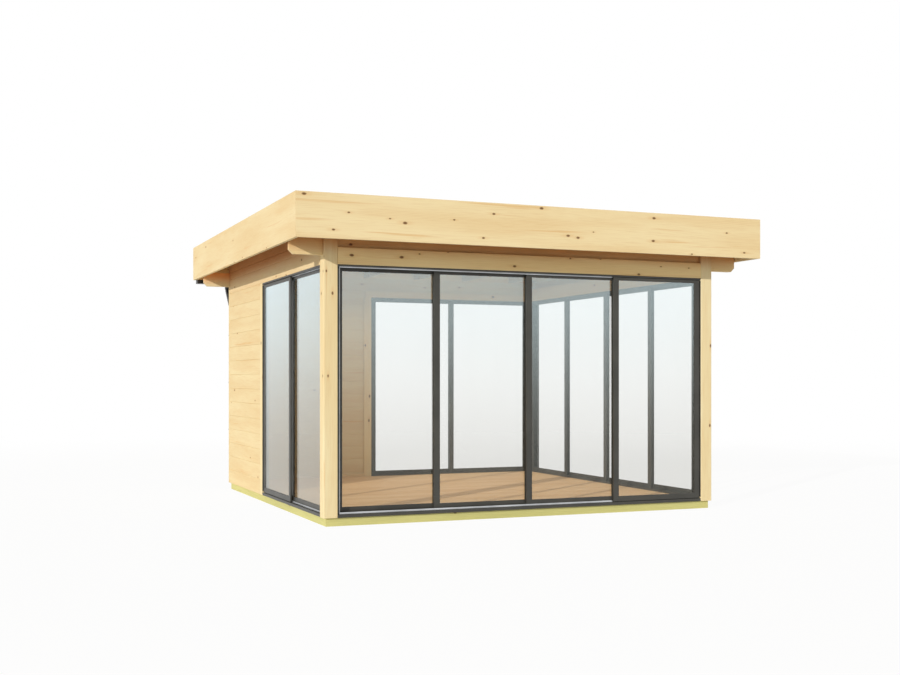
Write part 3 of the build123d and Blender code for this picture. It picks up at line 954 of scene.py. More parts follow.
@dataclass
class TimberShell:
    """Log walls, posts, lintels, brackets, joists and fascias, which keep the shapes of their solids."""

    course: float = 0.138
    first_course: float = 0.065
    first_seed: float = 1.7
    seed_step: float = 4.3
    lengthwise: tuple[str, ...] = ("front_lintel", "front_top_log", "rear_top_log", "rear_lintel")
    crosswise: tuple[str, ...] = ("left_lintel", "right_lintel", "side_top_logs", "roof_joists")
    upright: tuple[str, ...] = (
        "front_left_post", "front_right_post", "rear_right_post", "left_jamb_post", "rear_jamb_post")
    # Pieces that get painted shade under the eaves.
    eave_shaded_pieces: tuple[str, ...] = (
        "front_lintel", "front_top_log", "left_lintel", "right_lintel", "side_top_logs",
        "front_left_post", "front_right_post", "rear_right_post")

    def frame_finishes(self) -> dict[str, TimberFinish]:
        """Choose the finishes of posts, lintels, top logs and joists, each with a grain of its own.

        Returns:
            The finishes by the names of their solids.
        """
        found: dict[str, TimberFinish] = {}
        groups = (
            (self.lengthwise, Grain.ALONG_X),
            (self.crosswise, Grain.ALONG_Y),
            (self.upright, Grain.ALONG_Z),
        )
        for names, grain in groups:
            for name in names:
                seed = self.seed_step * len(found) + self.first_seed
                found[name] = TimberFinish("spruce_" + name, grain, seed)
        for name in self.eave_shaded_pieces:
            found[name] = replace(found[name], painted_shade_tint=EAVE_SHADE_TINT)
        for name in self.upright:
            found[name] = replace(
                found[name], pale=(0.88, 0.765, 0.485), honey=(0.84, 0.68, 0.385), knot_share=0.9)
        found["front_left_post"] = replace(found["front_left_post"], seed=7.6)
        found["front_lintel"] = replace(
            found["front_lintel"], pale=(0.95, 0.765, 0.42), honey=(0.90, 0.675, 0.34))
        found["front_top_log"] = replace(
            found["front_top_log"], pale=(0.93, 0.79, 0.46), honey=(0.88, 0.68, 0.36))
        # Painted shade: the rear top log takes a stronger orange tint on its shaded upper part, starting from
        # a lower height.
        found["rear_top_log"] = replace(
            found["rear_top_log"], pale=(0.80, 0.70, 0.455), honey=(0.74, 0.60, 0.36),
            painted_shade_tint=(1.05, 0.52, 0.26), painted_shade_from=2.06)
        # Painted shade: the joists' tones are darker than the other timber, for the shaded ceiling, and
        # outside the room their ends take the soffit shade tint.
        found["roof_joists"] = replace(
            found["roof_joists"], pale=(0.58, 0.49, 0.32), honey=(0.52, 0.42, 0.26), painted_shade_tint=SOFFIT_SHADE_TINT)
        return found

    def board_finishes(self) -> dict[str, TimberFinish]:
        """Choose the finishes of log walls, fascias and foundation beams.

        Returns:
            The finishes by the names of their solids.
        """
        return {
            # Painted light: the left wall and side fascias are a little darker and the front fascia paler,
            # making up for the sun falling more fully on the left faces than on the front.
            "left_wall_logs": TimberFinish(
                "spruce_left_wall", Grain.ALONG_Y, 31.0, pale=(0.82, 0.685, 0.41),
                honey=(0.77, 0.595, 0.325), knot_share=0.3, course=self.course,
                course_start=self.first_course),
            "rear_wall_logs": TimberFinish(
                "spruce_rear_wall", Grain.ALONG_X, 57.0, pale=(0.81, 0.69, 0.42),
                honey=(0.76, 0.595, 0.335), knot_share=0.3, course=self.course,
                course_start=self.first_course - self.course / 2),
            "front_fascia": TimberFinish(
                "fascia_front", Grain.ALONG_X, 12.4, pale=(0.885, 0.735, 0.445),
                honey=(0.835, 0.645, 0.36), knot_share=0.85),
            "side_fascias": TimberFinish(
                "fascia_sides", Grain.ALONG_Y, 22.9, pale=(0.82, 0.68, 0.41),
                honey=(0.77, 0.59, 0.32), knot_share=0.35),
            # Painted shade: the eave board takes a milder eave shade tint.
            "eave_board": TimberFinish("fascia_eave", Grain.ALONG_X, 41.2, painted_shade_tint=(0.95, 0.76, 0.55)),
            "foundation_beams": TimberFinish(
                "treated_beams", Grain.ROUND_THE_WALLS, 3.6, pale=(0.68, 0.645, 0.27),
                honey=(0.61, 0.58, 0.23), line=(0.42, 0.41, 0.16), amber=(0.44, 0.36, 0.13),
                knot=(0.22, 0.18, 0.07), knot_share=0.1),
        }

    def build(self) -> None:
        """Dress every timber solid."""
        for finishes in (self.frame_finishes(), self.board_finishes()):
            for node, finish in finishes.items():
                dress(node, finish.material())


@dataclass
class FloorBoarding:
    """Tongued floorboards that run from side to side, and the skirting laths along the log walls."""

    board_count: int = 27
    joint: float = 0.0008
    bevel: float = 0.0022
    lath_width: float = 0.016
    lath_height: float = 0.052
    lath_ease_share: float = 0.55
    log_wall_start: float = 0.3090
    log_wall_end: float = -0.3105

    def build(self) -> None:
        """Build the boards and the laths."""
        low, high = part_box("floor")
        self.boards(low, high)
        self.laths(low, high)

    def boards(self, low: Vector, high: Vector) -> None:
        """Repeat one board from front to rear.

        Args:
            low: The floor's lowest corner.
            high: The floor's highest corner.
        """
        left = low.x + self.lath_width
        pitch = (high.y - self.lath_width - low.y) / self.board_count
        start = low.y + self.joint / 2
        end = low.y + pitch - self.joint / 2
        outline = [
            (left, start, low.z),
            (left, end, low.z),
            (left, end, high.z - self.bevel),
            (left, end - self.bevel, high.z),
            (left, start + self.bevel, high.z),
            (left, start, high.z - self.bevel),
        ]
        # Painted light: the boards' tones are set brighter than the other timber, for light that the room
        # lacks.
        finish = TimberFinish(
            "floor_boards", Grain.ALONG_X, 71.0, pale=(0.94, 0.66, 0.37), honey=(0.865, 0.57, 0.295),
            line=(0.62, 0.36, 0.17), amber=(0.55, 0.28, 0.11), course=pitch, course_start=low.y,
            course_axis=1, knot_share=0.25)
        piece = show("floor_boards", prism("floor_board", outline, (high.x - left, 0.0, 0.0)))
        row = RowTree("board_row", finish.material())
        row.run(piece, Count=self.board_count, Step=(0.0, pitch, 0.0), Stray=NO_STRAY, Seed=1)
        settle(piece, CABIN, "floor_boards", "floor")

    def laths(self, low: Vector, high: Vector) -> None:
        """Build the two laths that close the floor against the log walls.

        Args:
            low: The floor's lowest corner.
            high: The floor's highest corner.
        """
        width = self.lath_width
        top = low.z + self.lath_height
        ease = width * self.lath_ease_share
        section = ((0.0, low.z), (width, low.z), (width, top - ease), (width - ease, top), (0.0, top))
        shape = bmesh.new()
        side = [(low.x + out, self.log_wall_start, up) for out, up in section]
        add_prism(shape, side, (0.0, high.y - self.log_wall_start, 0.0))
        back = [(low.x + width, high.y - out, up) for out, up in section]
        add_prism(shape, back, (self.log_wall_end - low.x - width, 0.0, 0.0))
        finish = TimberFinish("skirting_spruce", Grain.ROUND_THE_WALLS, 83.0)
        settle(show("skirting_laths", mesh_of("skirting_laths", shape), finish.material()), CABIN, "spruce")


@dataclass
class RoofCovering:
    """Roof boards with the closing boards under them, and the felt with its laps, nails and edges."""

    board_count: int = 33
    board_thickness: float = 0.018
    joint: float = 0.0008
    groove: float = 0.004
    joist_count: int = 8
    joist_width: float = 0.045
    closer_gap: float = 0.0004
    lap_count: int = 4
    lap_start: float = 0.62
    lap_pitch: float = 0.92
    lap_reach: float = 0.24
    lap_step: float = 0.0035
    lap_tip: float = 0.0003
    lap_bed: float = 0.0004
    lap_stray: float = 0.02
    nail_count: int = 50
    nail_sides: int = 10
    nail_profile: Profile = ((0.0055, -0.001), (0.0055, 0.0006), (0.0042, 0.0014), (0.0, 0.0016))
    nail_setback: float = 0.075
    nail_height_share: float = 0.75
    nail_stray: float = 0.006
    upstand: float = 0.085
    fillet: float = 0.036
    fillet_lip: float = 0.001
    sheet: float = 0.003
    drip: float = 0.032
    drip_reach: float = 0.09
    drip_nose: float = 0.009
    drip_gauge: float = 0.0012
    low: Vector = field(default_factory=Vector)
    high: Vector = field(default_factory=Vector)
    fall: float = 0.0

    def build(self) -> None:
        """Build the covering from the roof's inside to its outside."""
        felt = FeltFinish().material()
        self.boards()
        self.closers()
        self.low, self.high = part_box("roof_membrane")
        dress("roof_membrane", felt)
        self.laps(felt)
        self.nails()
        self.edges(felt)
        self.drip_edge()

    def top(self, y: float) -> float:
        """The height of the felt's top at a place from front to rear."""
        return self.high.z - (y - self.low.y) * self.fall

    def across(self) -> Corner:
        """The way from the felt's left edge to its right edge."""
        return (self.high.x - self.low.x, 0.0, 0.0)

    def next_lap(self) -> Corner:
        """The way from one lap of the felt to the next."""
        return (0.0, self.lap_pitch, -self.lap_pitch * self.fall)

    def boards(self) -> None:
        """Repeat one tongued roof board down the roof's fall."""
        low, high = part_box("roof_deck")
        length = high.y - low.y
        thickness = self.board_thickness
        self.fall = (high.z - thickness - low.z) / length
        pitch = length / self.board_count
        start = low.y + self.joint / 2
        width = pitch - self.joint
        foot = high.z - thickness
        drop = width * self.fall
        outline = [
            (low.x, start, foot + self.groove),
            (low.x, start + self.groove, foot),
            (low.x, start + width - self.groove, foot - drop),
            (low.x, start + width, foot - drop + self.groove),
            (low.x, start + width, foot - drop + thickness),
            (low.x, start, foot + thickness),
        ]
        # Painted shade: the boards' tones are dark and grey, for the shaded ceiling inside, and outside the
        # room they take the soffit shade tint.
        finish = TimberFinish(
            "roof_boards", Grain.ALONG_X, 97.0, pale=(0.47, 0.40, 0.27), honey=(0.42, 0.345, 0.22),
            line=(0.34, 0.26, 0.15), amber=(0.36, 0.26, 0.13), course=pitch, course_start=low.y,
            course_axis=1, knot_share=0.12, painted_shade_tint=SOFFIT_SHADE_TINT)
        piece = show("roof_boards", prism("roof_board", outline, (high.x - low.x, 0.0, 0.0)))
        row = RowTree("roof_board_row", finish.material())
        step = (0.0, pitch, -pitch * self.fall)
        row.run(piece, Count=self.board_count, Step=step, Stray=NO_STRAY, Seed=2)
        settle(piece, CABIN, "spruce", "roof_deck")

    def closer_end(self, x: float, start: float, stop: float) -> list[Corner]:
        """The outline of a closing board's end, from the walls' tops to the roof boards.

        Args:
            x: Where the end is from left to right.
            start: The board's front.
            stop: The board's rear.

        Returns:
            The outline's corners.
        """
        deck_low, deck_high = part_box("roof_deck")
        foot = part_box("side_top_logs")[1].z + self.closer_gap
        level = deck_high.z - self.board_thickness - self.closer_gap
        tops = [level - (y - deck_low.y) * self.fall for y in (start, stop)]
        return [(x, start, foot), (x, stop, foot), (x, stop, tops[1]), (x, start, tops[0])]

    def closers(self) -> None:
        """Stand boards on the walls' tops, which close the gap under the roof boards between the joists."""
        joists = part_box("roof_joists")
        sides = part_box("side_top_logs")
        front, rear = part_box("front_top_log"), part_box("rear_top_log")
        depth = front[1].y - front[0].y
        shape = bmesh.new()
        for edge, way in ((sides[0].x, depth), (sides[1].x, -depth)):
            add_prism(shape, self.closer_end(edge, front[1].y, rear[0].y), (way, 0.0, 0.0))
        pitch = (joists[1].x - joists[0].x - self.joist_width) / (self.joist_count - 1)
        for log in (front, rear):
            for index in range(self.joist_count - 1):
                joist = joists[0].x + index * pitch
                left = max(joist + self.joist_width + self.closer_gap, sides[0].x)
                right = min(joist + pitch - self.closer_gap, sides[1].x)
                add_prism(shape, self.closer_end(left, log[0].y, log[1].y), (right - left, 0.0, 0.0))
        # Painted shade: the closing boards take the eave shade tint, darker towards the roof.
        finish = TimberFinish("spruce_closers", Grain.ROUND_THE_WALLS, 64.0, painted_shade_tint=EAVE_SHADE_TINT)
        settle(show("wall_closers", mesh_of("wall_closers", shape), finish.material()), CABIN, "spruce")

    def laps(self, felt: Material) -> None:
        """Repeat the lower edge of one felt sheet, which laps over the next sheet down the fall.

        Args:
            felt: The felt's finish.
        """
        y = self.low.y + self.lap_start
        end = y + self.lap_reach
        outline = [
            (self.low.x, y, self.top(y) - self.lap_bed),
            (self.low.x, end, self.top(end) - self.lap_bed),
            (self.low.x, end, self.top(end) + self.lap_step),
            (self.low.x, y, self.top(y) + self.lap_tip),
        ]
        piece = show("felt_laps", prism("felt_lap", outline, self.across()))
        row = RowTree("felt_lap_row", felt)
        row.run(piece, Count=self.lap_count, Step=self.next_lap(), Stray=(0.0, self.lap_stray, 0.0), Seed=5)
        settle(piece, CABIN, "roofing_felt")

    def nails(self) -> None:
        """Repeat one flat nail head along a lap, and that row on every lap."""
        steel = CoatedMetalFinish("galvanised_steel", (0.42, 0.43, 0.44), 0.4, 0.9).material()
        y = self.low.y + self.lap_start + self.lap_reach - self.nail_setback
        pitch = (self.high.x - self.low.x) / self.nail_count
        height = self.top(y) + self.lap_step * self.nail_height_share
        head = turned("nail_head", self.nail_profile, self.nail_sides)
        head.transform(Matrix.Translation((self.low.x + pitch / 2, y, height)))
        piece = show("felt_nails", head)
        tree = RowTree("nail_row", steel)
        stray = (self.nail_stray, self.nail_stray, 0.0)
        tree.run(piece, Count=self.nail_count, Step=(pitch, 0.0, 0.0), Stray=stray, Seed=7)
        tree.run(piece, Count=self.lap_count, Step=self.next_lap(), Stray=NO_STRAY, Seed=8)
        settle(piece, CABIN, "frame_aluminium")

    def edges(self, felt: Material) -> None:
        """Turn the felt up over fillets along the front and both sides.

        Args:
            felt: The felt's finish.
        """
        front = self.low.y
        z = self.top(front)
        toe = self.sheet + self.fillet
        section = (
            (0.0, z - self.fillet_lip), (toe, z - self.fillet_lip), (toe, z + self.fillet_lip),
            (self.sheet, z + self.fillet), (self.sheet, z + self.upstand), (0.0, z + self.upstand))
        shape = bmesh.new()
        add_prism(shape, [(self.low.x, front + out, up) for out, up in section], self.across())
        length = self.high.y - self.low.y
        for edge, way in ((self.low.x, 1.0), (self.high.x, -1.0)):
            outline = [(edge + way * out, front, up) for out, up in section]
            add_prism(shape, outline, (0.0, length, -length * self.fall))
        settle(show("felt_upstands", mesh_of("felt_upstands", shape), felt), CABIN, "roofing_felt")

    def drip_edge(self) -> None:
        """Fold a strip of metal over the eave, down into the gutter."""
        metal = CoatedMetalFinish("drip_metal", (0.09, 0.095, 0.1), 0.4, 0.3).material()
        rear = self.high.y
        start = rear - self.drip_reach
        nose = rear + self.drip_nose
        gauge = self.drip_gauge
        outline = [
            (self.low.x, start, self.top(start)),
            (self.low.x, nose, self.top(rear)),
            (self.low.x, nose, self.top(rear) - self.drip),
            (self.low.x, nose + gauge, self.top(rear) - self.drip),
            (self.low.x, nose + gauge, self.top(rear) + gauge),
            (self.low.x, start, self.top(start) + gauge),
        ]
        piece = show("drip_edge", prism("drip_edge", outline, self.across()), metal)
        settle(piece, CABIN, "frame_aluminium")


@dataclass
class RainwaterGoods:
    """The gutter's brackets and leaf guard, and the sockets, clip rings, screws and ears of its pipe."""

    bracket_count: int = 7
    bracket_width: float = 0.026
    bracket_inset: float = 0.16
    bracket_lip: float = 0.009
    band: float = 0.003
    band_fit: float = 0.0003
    board_fit: float = 0.0004
    back_fit: float = 0.0002
    pipe_radius: float = 0.034
    pipe_x: float = -1.686
    pipe_y: float = 1.7375
    neck_y: float = 1.99535
    neck_drop: float = 0.026
    collar_heights: tuple[float, ...] = (1.700, 0.245)
    clip_heights: tuple[float, ...] = (0.6052, 1.0879, 1.5705)
    ring_fit: float = 0.0002
    ring_sides: int = 32
    socket_profile: Profile = (
        (0.0, -0.024), (0.0025, -0.024), (0.0032, -0.021), (0.0032, 0.016), (0.0045, 0.018),
        (0.0045, 0.024), (0.0, 0.024))
    clip_profile: Profile = (
        (0.0, -0.0125), (0.002, -0.0125), (0.0028, -0.0105), (0.0028, 0.0105), (0.002, 0.0125),
        (0.0, 0.0125))
    screw_profile: Profile = (
        (0.0036, -0.004), (0.0036, 0.0004), (0.0028, 0.0016), (0.0012, 0.002), (0.0012, 0.0012),
        (0.0, 0.0012))
    screw_sides: int = 12
    screw_reach: float = 0.0115
    screw_lift: float = 0.008
    ear_start: float = 0.0025
    ear_reach: float = 0.018
    ear_depth: float = 0.020
    ear_foot: float = 0.006
    ear_head: float = 0.0078
    ear_bevel: float = 0.0015
    guard_hoops: int = 6
    guard_steps: int = 12
    guard_radius: float = 0.030
    guard_height: float = 0.034
    guard_lift: float = 0.004
    guard_wire: float = 0.0018

    def build(self) -> None:
        """Dress the solids and build the fittings."""
        plastic = MouldedFinish("black_plastic", (0.018, 0.018, 0.019), 0.36).material()
        dress("gutter", plastic)
        dress("downpipe", plastic)
        self.brackets(plastic)
        self.collars(plastic)
        self.screws()
        self.ears(plastic)
        self.leaf_guard()

    def brackets(self, plastic: Material) -> None:
        """Repeat one bracket that wraps the gutter from the eave board to the front rim.

        Args:
            plastic: The brackets' finish.
        """
        low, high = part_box("gutter")
        start = low.x + self.bracket_inset
        back = low.y - self.back_fit
        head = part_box("eave_board")[0].z - self.board_fit
        foot, rim = low.z - self.band_fit, high.z + self.band_fit
        section = (
            (back - self.band, head), (back - self.band, low.z - self.band),
            (high.y + self.band, low.z - self.band), (high.y + self.band, high.z + self.band),
            (high.y - self.bracket_lip, high.z + self.band), (high.y - self.bracket_lip, rim),
            (high.y + self.band_fit, rim), (high.y + self.band_fit, foot), (back, foot), (back, head))
        outline = [(start, y, z) for y, z in section]
        piece = show("gutter_brackets", prism("gutter_bracket", outline, (self.bracket_width, 0.0, 0.0)))
        length = high.x - low.x - 2 * self.bracket_inset - self.bracket_width
        step = (length / (self.bracket_count - 1), 0.0, 0.0)
        row = RowTree("bracket_row", plastic)
        row.run(piece, Count=self.bracket_count, Step=step, Stray=NO_STRAY, Seed=3)
        settle(piece, CABIN, "rainwater_plastic")

    def collars(self, plastic: Material) -> None:
        """Put a socket ring on the pipe at its joints and a clip ring at each clip.

        Args:
            plastic: The rings' finish.
        """
        bore = self.pipe_radius + self.ring_fit
        socket = turned("socket_ring", self.socket_profile, self.ring_sides, bore)
        spots = [(self.pipe_x, self.neck_y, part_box("gutter")[0].z - self.neck_drop)]
        spots += [(self.pipe_x, self.pipe_y, height) for height in self.collar_heights]
        self.scatter("pipe_sockets", socket, spots, plastic)
        ring = turned("clip_ring", self.clip_profile, self.ring_sides, bore)
        spots = [(self.pipe_x, self.pipe_y, height) for height in self.clip_heights]
        self.scatter("pipe_clip_rings", ring, spots, plastic)

    def screws(self) -> None:
        """Put two screws on each clip, beside the pipe."""
        steel = CoatedMetalFinish("clip_screw_steel", (0.45, 0.45, 0.46), 0.35, 0.9).material()
        head = turned("clip_screw", self.screw_profile, self.screw_sides)
        reach = self.pipe_radius + self.screw_reach
        spots = []
        for height in self.clip_heights:
            for way in (-reach, reach):
                spots.append((self.pipe_x + way, self.pipe_y, height + self.screw_lift))
        self.scatter("pipe_clip_screws", head, spots, steel)

    def ears(self, plastic: Material) -> None:
        """Build the two ears of each clip, which the screws go into.

        Args:
            plastic: The ears' finish.
        """
        front = self.pipe_y - self.ear_depth / 2
        shape = bmesh.new()
        for height in self.clip_heights:
            low, high = height - self.ear_foot, height + self.ear_head
            for side in (-1.0, 1.0):
                near = self.pipe_x + side * (self.pipe_radius + self.ear_start)
                far = self.pipe_x + side * (self.pipe_radius + self.ear_reach)
                outline = [(near, front, low), (far, front, low), (far, front, high), (near, front, high)]
                add_prism(shape, outline, (0.0, self.ear_depth, 0.0), self.ear_bevel)
        piece = show("pipe_clip_ears", mesh_of("pipe_clip_ears", shape), plastic)
        settle(piece, CABIN, "rainwater_plastic")

    def leaf_guard(self) -> None:
        """Stand a wire leaf guard in the gutter over the pipe's head."""
        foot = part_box("gutter")[0].z + self.guard_lift
        points: list[Corner] = []
        edges: list[tuple[int, int]] = []
        for hoop in range(self.guard_hoops):
            angle = math.pi * hoop / self.guard_hoops
            for index in range(self.guard_steps + 1):
                bend = math.pi * index / self.guard_steps
                reach = self.guard_radius * math.cos(bend)
                if index:
                    edges.append((len(points) - 1, len(points)))
                points.append((
                    self.pipe_x + reach * math.cos(angle), self.neck_y + reach * math.sin(angle),
                    foot + self.guard_height * math.sin(bend)))
        mesh = bpy.data.meshes.new("leaf_guard")
        mesh.from_pydata(points, edges, [])
        wire = CoatedMetalFinish("guard_wire", (0.40, 0.41, 0.42), 0.35, 0.9).material()
        piece = show("leaf_guard", mesh)
        BeadTree("guard_wire_bead", wire).run(piece, Width=self.guard_wire, Height=self.guard_wire)
        settle(piece, CABIN, "frame_aluminium")

    def scatter(self, name: str, mesh: Mesh, spots: list[Corner], material: Material) -> None:
        """Put a part on several places as one piece.

        Args:
            name: The piece's name.
            mesh: The part's mesh.
            spots: The places.
            material: The finish.
        """
        part = show(mesh.name, mesh)
        places = bpy.data.meshes.new(name)
        places.from_pydata(spots, [], [])
        piece = show(name, places)
        PointTree(name + "_points", material).run(piece, Part=part)
        bpy.data.objects.remove(part)
        settle(piece, CABIN, "rainwater_plastic")


@dataclass
class GlassWall:
    """One glass wall: a track frame and its leaves, as seen from outside."""

    name: str
    origin: Corner
    along: Corner
    inward: Corner
    start: float
    width: float
    tracks: tuple[int, ...]
    fixed_side: Side
    fit: float = 0.0003
    recess: float = 0.003
    pitch: float = 0.0256
    fin: float = 0.0016
    clearance: float = 0.005
    jamb_plate: float = 0.006
    jamb_fin: float = 0.018
    stile: float = 0.050
    bottom: float = 0.094
    top: float = 1.978
    bottom_rail: float = 0.043
    top_rail: float = 0.025
    leaf_depth: float = 0.014
    glass: float = 0.006
    bead: float = 0.0034
    sill_face: tuple[float, float] = (0.0895, 0.103)
    head_face: tuple[float, float] = (1.975, 1.983)
    edge_width: float = 0.003
    edge_thickness: float = 0.0011
    edge_front: float = 0.0012
    edge_gap: float = 0.002

    def place(self, along: float, inward: float, up: float) -> Corner:
        """A place on this wall.

        Args:
            along: The distance along the wall from its left end, seen from outside.
            inward: The depth behind the wall's outer face.
            up: The height above the ground.

        Returns:
            The place in the frame of the solids.
        """
        spot = Vector(self.origin) + along * Vector(self.along) + inward * Vector(self.inward)
        return (spot.x, spot.y, up)

    def leaf_width(self) -> float:
        """The width of each leaf."""
        clear = self.width - 2.0 * (self.fit + self.jamb_plate + self.clearance)
        return (clear + (len(self.tracks) - 1) * self.stile) / len(self.tracks)

    def leaf_start(self, index: int) -> float:
        """Where a leaf begins along the wall, counted from the left."""
        first = self.start + self.fit + self.jamb_plate + self.clearance
        return first + index * (self.leaf_width() - self.stile)

    def body(self, index: int) -> str:
        """The body that a leaf moves with, which is the cabin for the fixed leaf."""
        return f"{self.name}_leaf_{index + 1}" if self.tracks[index] else CABIN

    def gasket_loops(self, index: int) -> list[list[Corner]]:
        """The two loops round a leaf's pane, in front of the glass and behind it.

        Args:
            index: The leaf, counted from the left.

        Returns:
            The corners of each loop.
        """
        left = self.leaf_start(index) + self.stile - self.bead / 2
        right = self.leaf_start(index) + self.leaf_width() - self.stile + self.bead / 2
        low = self.bottom + self.bottom_rail - self.bead / 2
        high = self.top - self.top_rail + self.bead / 2
        face = self.recess + self.tracks[index] * self.pitch + self.fin + self.clearance
        sunk = (self.leaf_depth - self.glass) / 2
        corners = ((left, low), (right, low), (right, high), (left, high))
        depths = (face + sunk - self.bead / 2, face + self.leaf_depth - sunk + self.bead / 2)
        return [[self.place(along, depth, up) for along, up in corners] for depth in depths]

    def gaskets(self, rubber: Material) -> None:
        """Lay a rubber bead round both faces of every pane, one piece for each leaf.

        Args:
            rubber: The gaskets' finish.
        """
        for index in range(len(self.tracks)):
            points: list[Corner] = []
            edges: list[tuple[int, int]] = []
            for loop in self.gasket_loops(index):
                base = len(points)
                points += loop
                edges += [(base + side, base + (side + 1) % len(loop)) for side in range(len(loop))]
            name = f"{self.name}_gaskets_{index + 1}"
            mesh = bpy.data.meshes.new(name)
            mesh.from_pydata(points, edges, [])
            piece = show(name, mesh)
            BeadTree(name + "_bead", rubber).run(piece, Width=self.bead, Height=self.bead)
            settle(piece, self.body(index), "frame_aluminium")

    def highlight_track_lip(self, metal: Material) -> None:
        """Fit a strip to the first fin, in front of the sliding leaves: the track's lip, whose bright metal
        is a painted highlight.

        Args:
            metal: The strip's finish.
        """
        margin = self.fit + self.jamb_plate + self.jamb_fin
        if self.fixed_side is Side.RIGHT:
            open_end = self.start + margin
            shut_end = self.leaf_start(len(self.tracks) - 1) - self.edge_gap
            outer_end = open_end - self.edge_width
        else:
            open_end = self.start + self.width - margin
            shut_end = self.leaf_start(0) + self.leaf_width() + self.edge_gap
            outer_end = open_end + self.edge_width
        sill, head = self.sill_face, self.head_face
        corners = (
            (shut_end, sill[0]), (outer_end, sill[0]), (outer_end, head[1]), (shut_end, head[1]),
            (shut_end, head[0]), (open_end, head[0]), (open_end, sill[1]), (shut_end, sill[1]))
        front = self.recess + self.pitch - self.edge_front
        outline = [self.place(along, front, up) for along, up in corners]
        reach = tuple(self.edge_thickness * part for part in self.inward)
        name = self.name + "_track_edge"
        settle(show(name, prism(name, outline, reach), metal), CABIN, "frame_aluminium")


@dataclass
class GlassWalls:
    """The four glass walls of the cabin and their finishes."""

    anthracite: Colour = (0.043, 0.042, 0.036)
    walls: tuple[GlassWall, ...] = (
        GlassWall("front", (-1.75, -1.7515, 0.0), (1.0, 0.0, 0.0), (0.0, 1.0, 0.0), 0.110, 3.280,
                  (3, 2, 1, 0), Side.RIGHT),
        GlassWall("right", (1.75, -1.7515, 0.0), (0.0, 1.0, 0.0), (-1.0, 0.0, 0.0), 0.110, 3.210,
                  (0, 1, 2, 3), Side.LEFT),
        GlassWall("left", (-1.75, 1.6785, 0.0), (0.0, -1.0, 0.0), (1.0, 0.0, 0.0), 1.450, 1.870,
                  (0, 1), Side.LEFT),
        GlassWall("rear", (1.75, 1.6785, 0.0), (-1.0, 0.0, 0.0), (0.0, -1.0, 0.0), 0.110, 1.870,
                  (1, 0), Side.RIGHT),
    )

    def build(self) -> None:
        """Dress the frames and panes, then fit gaskets and the track edges, whose bright metal is a painted
        highlight.
        """
        coat = CoatedMetalFinish("anthracite_coat", self.anthracite, 0.42).material()
        glass = GlassFinish().material()
        rubber = MouldedFinish("gasket_rubber", (0.014, 0.014, 0.015), 0.6).material()
        # Painted highlight: bright bare metal for the track edges, where light catches the lip.
        bright = CoatedMetalFinish("bright_aluminium", (0.62, 0.64, 0.66), 0.34, 0.85).material()
        for node in sorted(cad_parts):
            if node.endswith("_glass"):
                dress(node, glass)
            elif node.endswith(("_frame", "_frames")):
                dress(node, coat)
        for wall in self.walls:
            wall.gaskets(rubber)
            wall.highlight_track_lip(bright)


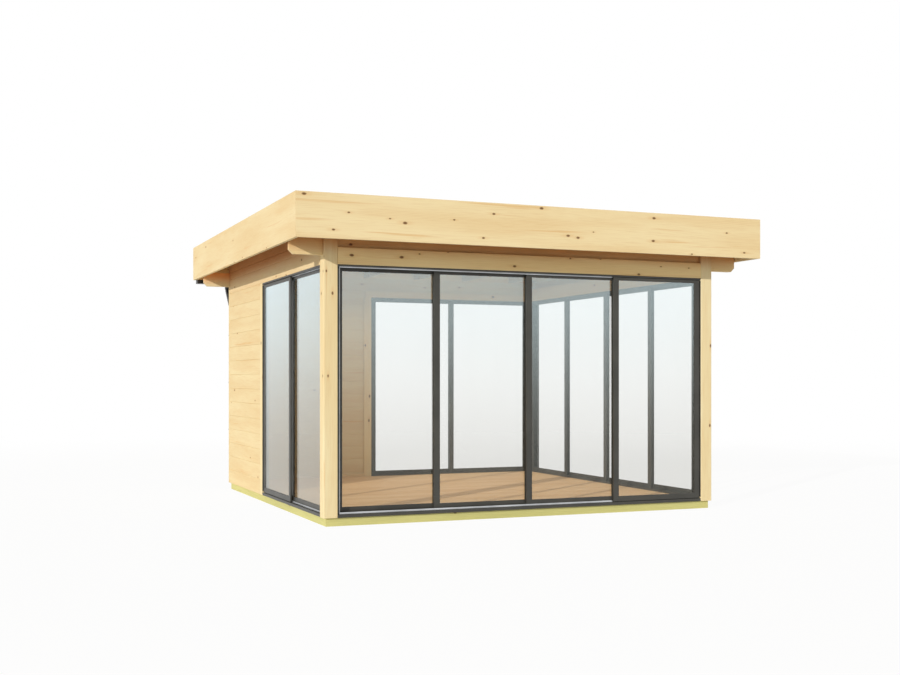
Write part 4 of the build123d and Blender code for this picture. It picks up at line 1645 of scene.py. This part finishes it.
@dataclass
class Studio:
    """The pale floor, the light and the camera."""

    camera_place: Corner = (-4.2898, -10.3666, 1.118)
    camera_turn: float = -22.53
    lens: float = 47.18
    sensor: float = 36.0
    lift: float = 0.0468
    sight: float = 300.0
    sun_strength: float = 2.5
    sun_angle: float = 0.53
    sun_way: Corner = (0.7705, 0.5516, -0.319)
    sun_colour: Colour = (1.0, 0.975, 0.94)
    ambient: float = 0.48
    ambient_colour: Colour = (1.0, 0.965, 0.86)
    white: Colour = (1.0, 1.0, 1.0)
    fill_size: float = 2.8
    fill_height: float = 1.94
    fill_strength: float = 13.0
    fill_colour: Colour = (1.0, 0.97, 0.93)
    floor_half: float = 60.0
    floor_dark: Colour = (0.86, 0.86, 0.855)
    floor_light: Colour = (0.90, 0.90, 0.895)
    floor_roughness: float = 0.9
    floor_cloud_rate: float = 0.3
    floor_cloud_detail: float = 2.0
    white_share: float = 0.94
    white_from: float = 5.0
    white_to: float = 14.0

    def build(self) -> None:
        """Build the stage."""
        self.camera()
        self.sun()
        self.room_fill()
        self.surroundings()
        self.floor()
        bpy.context.scene.view_settings.view_transform = "Standard"

    def camera(self) -> None:
        """Set up the level camera."""
        data = bpy.data.cameras.new("camera")
        data.lens = self.lens
        data.sensor_width = self.sensor
        data.sensor_fit = "HORIZONTAL"
        data.shift_y = self.lift
        data.clip_end = self.sight
        camera = bpy.data.objects.new("camera", data)
        camera.location = self.camera_place
        camera.rotation_euler = (math.radians(90.0), 0.0, math.radians(self.camera_turn))
        bpy.context.scene.collection.objects.link(camera)
        bpy.context.scene.camera = camera

    def sun(self) -> None:
        """Set up the low main light from the front left."""
        data = bpy.data.lights.new("main_light", "SUN")
        data.energy = self.sun_strength
        data.angle = math.radians(self.sun_angle)
        data.color = self.sun_colour
        light = bpy.data.objects.new("main_light", data)
        light.rotation_euler = Vector(self.sun_way).to_track_quat("-Z", "Y").to_euler()
        bpy.context.scene.collection.objects.link(light)

    def room_fill(self) -> None:
        """Hang an unseen soft light under the ceiling, so that the floor is not lost in shade."""
        data = bpy.data.lights.new("room_fill", "AREA")
        data.shape = "SQUARE"
        data.size = self.fill_size
        data.energy = self.fill_strength
        data.color = self.fill_colour
        light = bpy.data.objects.new("room_fill", data)
        light.location = (0.0, 0.0, self.fill_height)
        light.visible_camera = False
        light.visible_glossy = False
        light.visible_transmission = False
        bpy.context.scene.collection.objects.link(light)

    def seen(self, graph: NodeGraph) -> Socket:
        """Tell the rays that show the background itself, also in glass and metal.

        Args:
            graph: The graph of the background's nodes.

        Returns:
            The socket of a number that is one for such rays.
        """
        path = graph.add("ShaderNodeLightPath")
        shown = graph.math("MAXIMUM", path.outputs["Is Camera Ray"], path.outputs["Is Glossy Ray"])
        return graph.math("MAXIMUM", shown, path.outputs["Is Transmission Ray"])

    def surroundings(self) -> None:
        """Set up the even light from all round, which is white where it is seen."""
        world = bpy.data.worlds.new("studio")
        world.use_nodes = True
        bpy.context.scene.world = world
        graph = NodeGraph(world.node_tree)
        sky = world.node_tree.nodes["Background"]
        seen = self.seen(graph)
        graph.feed(sky.inputs["Color"], graph.blend(seen, self.ambient_colour, self.white))
        graph.feed(sky.inputs["Strength"], graph.math("MULTIPLY_ADD", seen, 1.0 - self.ambient, self.ambient))

    def floor(self) -> None:
        """Lay the pale floor, which keeps a faint shadow."""
        half = self.floor_half
        mesh = bpy.data.meshes.new("studio_floor")
        corners = [(-half, -half, 0.0), (half, -half, 0.0), (half, half, 0.0), (-half, half, 0.0)]
        mesh.from_pydata(corners, [], [(0, 1, 2, 3)])
        material, graph, shader = new_material("pale_floor")
        point = object_point(graph)
        shader.inputs["Roughness"].default_value = self.floor_roughness
        shader.inputs["Specular IOR Level"].default_value = 0.0
        cloud = graph.noise(point, self.floor_cloud_detail, self.floor_cloud_rate)
        graph.feed(shader.inputs["Base Color"], graph.blend(cloud, self.floor_dark, self.floor_light))
        white = graph.add("ShaderNodeEmission")
        x, y, _ = graph.split(point)
        share = graph.remap(graph.distance(x, y), self.white_from, self.white_to, self.white_share, 1.0)
        share = graph.math("MULTIPLY", self.seen(graph), share)
        join_shaders(material, graph, share, shader.outputs[0], white.outputs[0])
        show("studio_floor", mesh, material)


def main() -> None:
    """Build the stage and every sub-assembly in order."""
    logging.basicConfig(level=logging.INFO, format="%(message)s")
    for part in (Studio(), TimberShell(), FloorBoarding(), RoofCovering(), RainwaterGoods(), GlassWalls()):
        LOG.info("building %s", type(part).__name__)
        part.build()


if __name__ == "__main__":
    main()
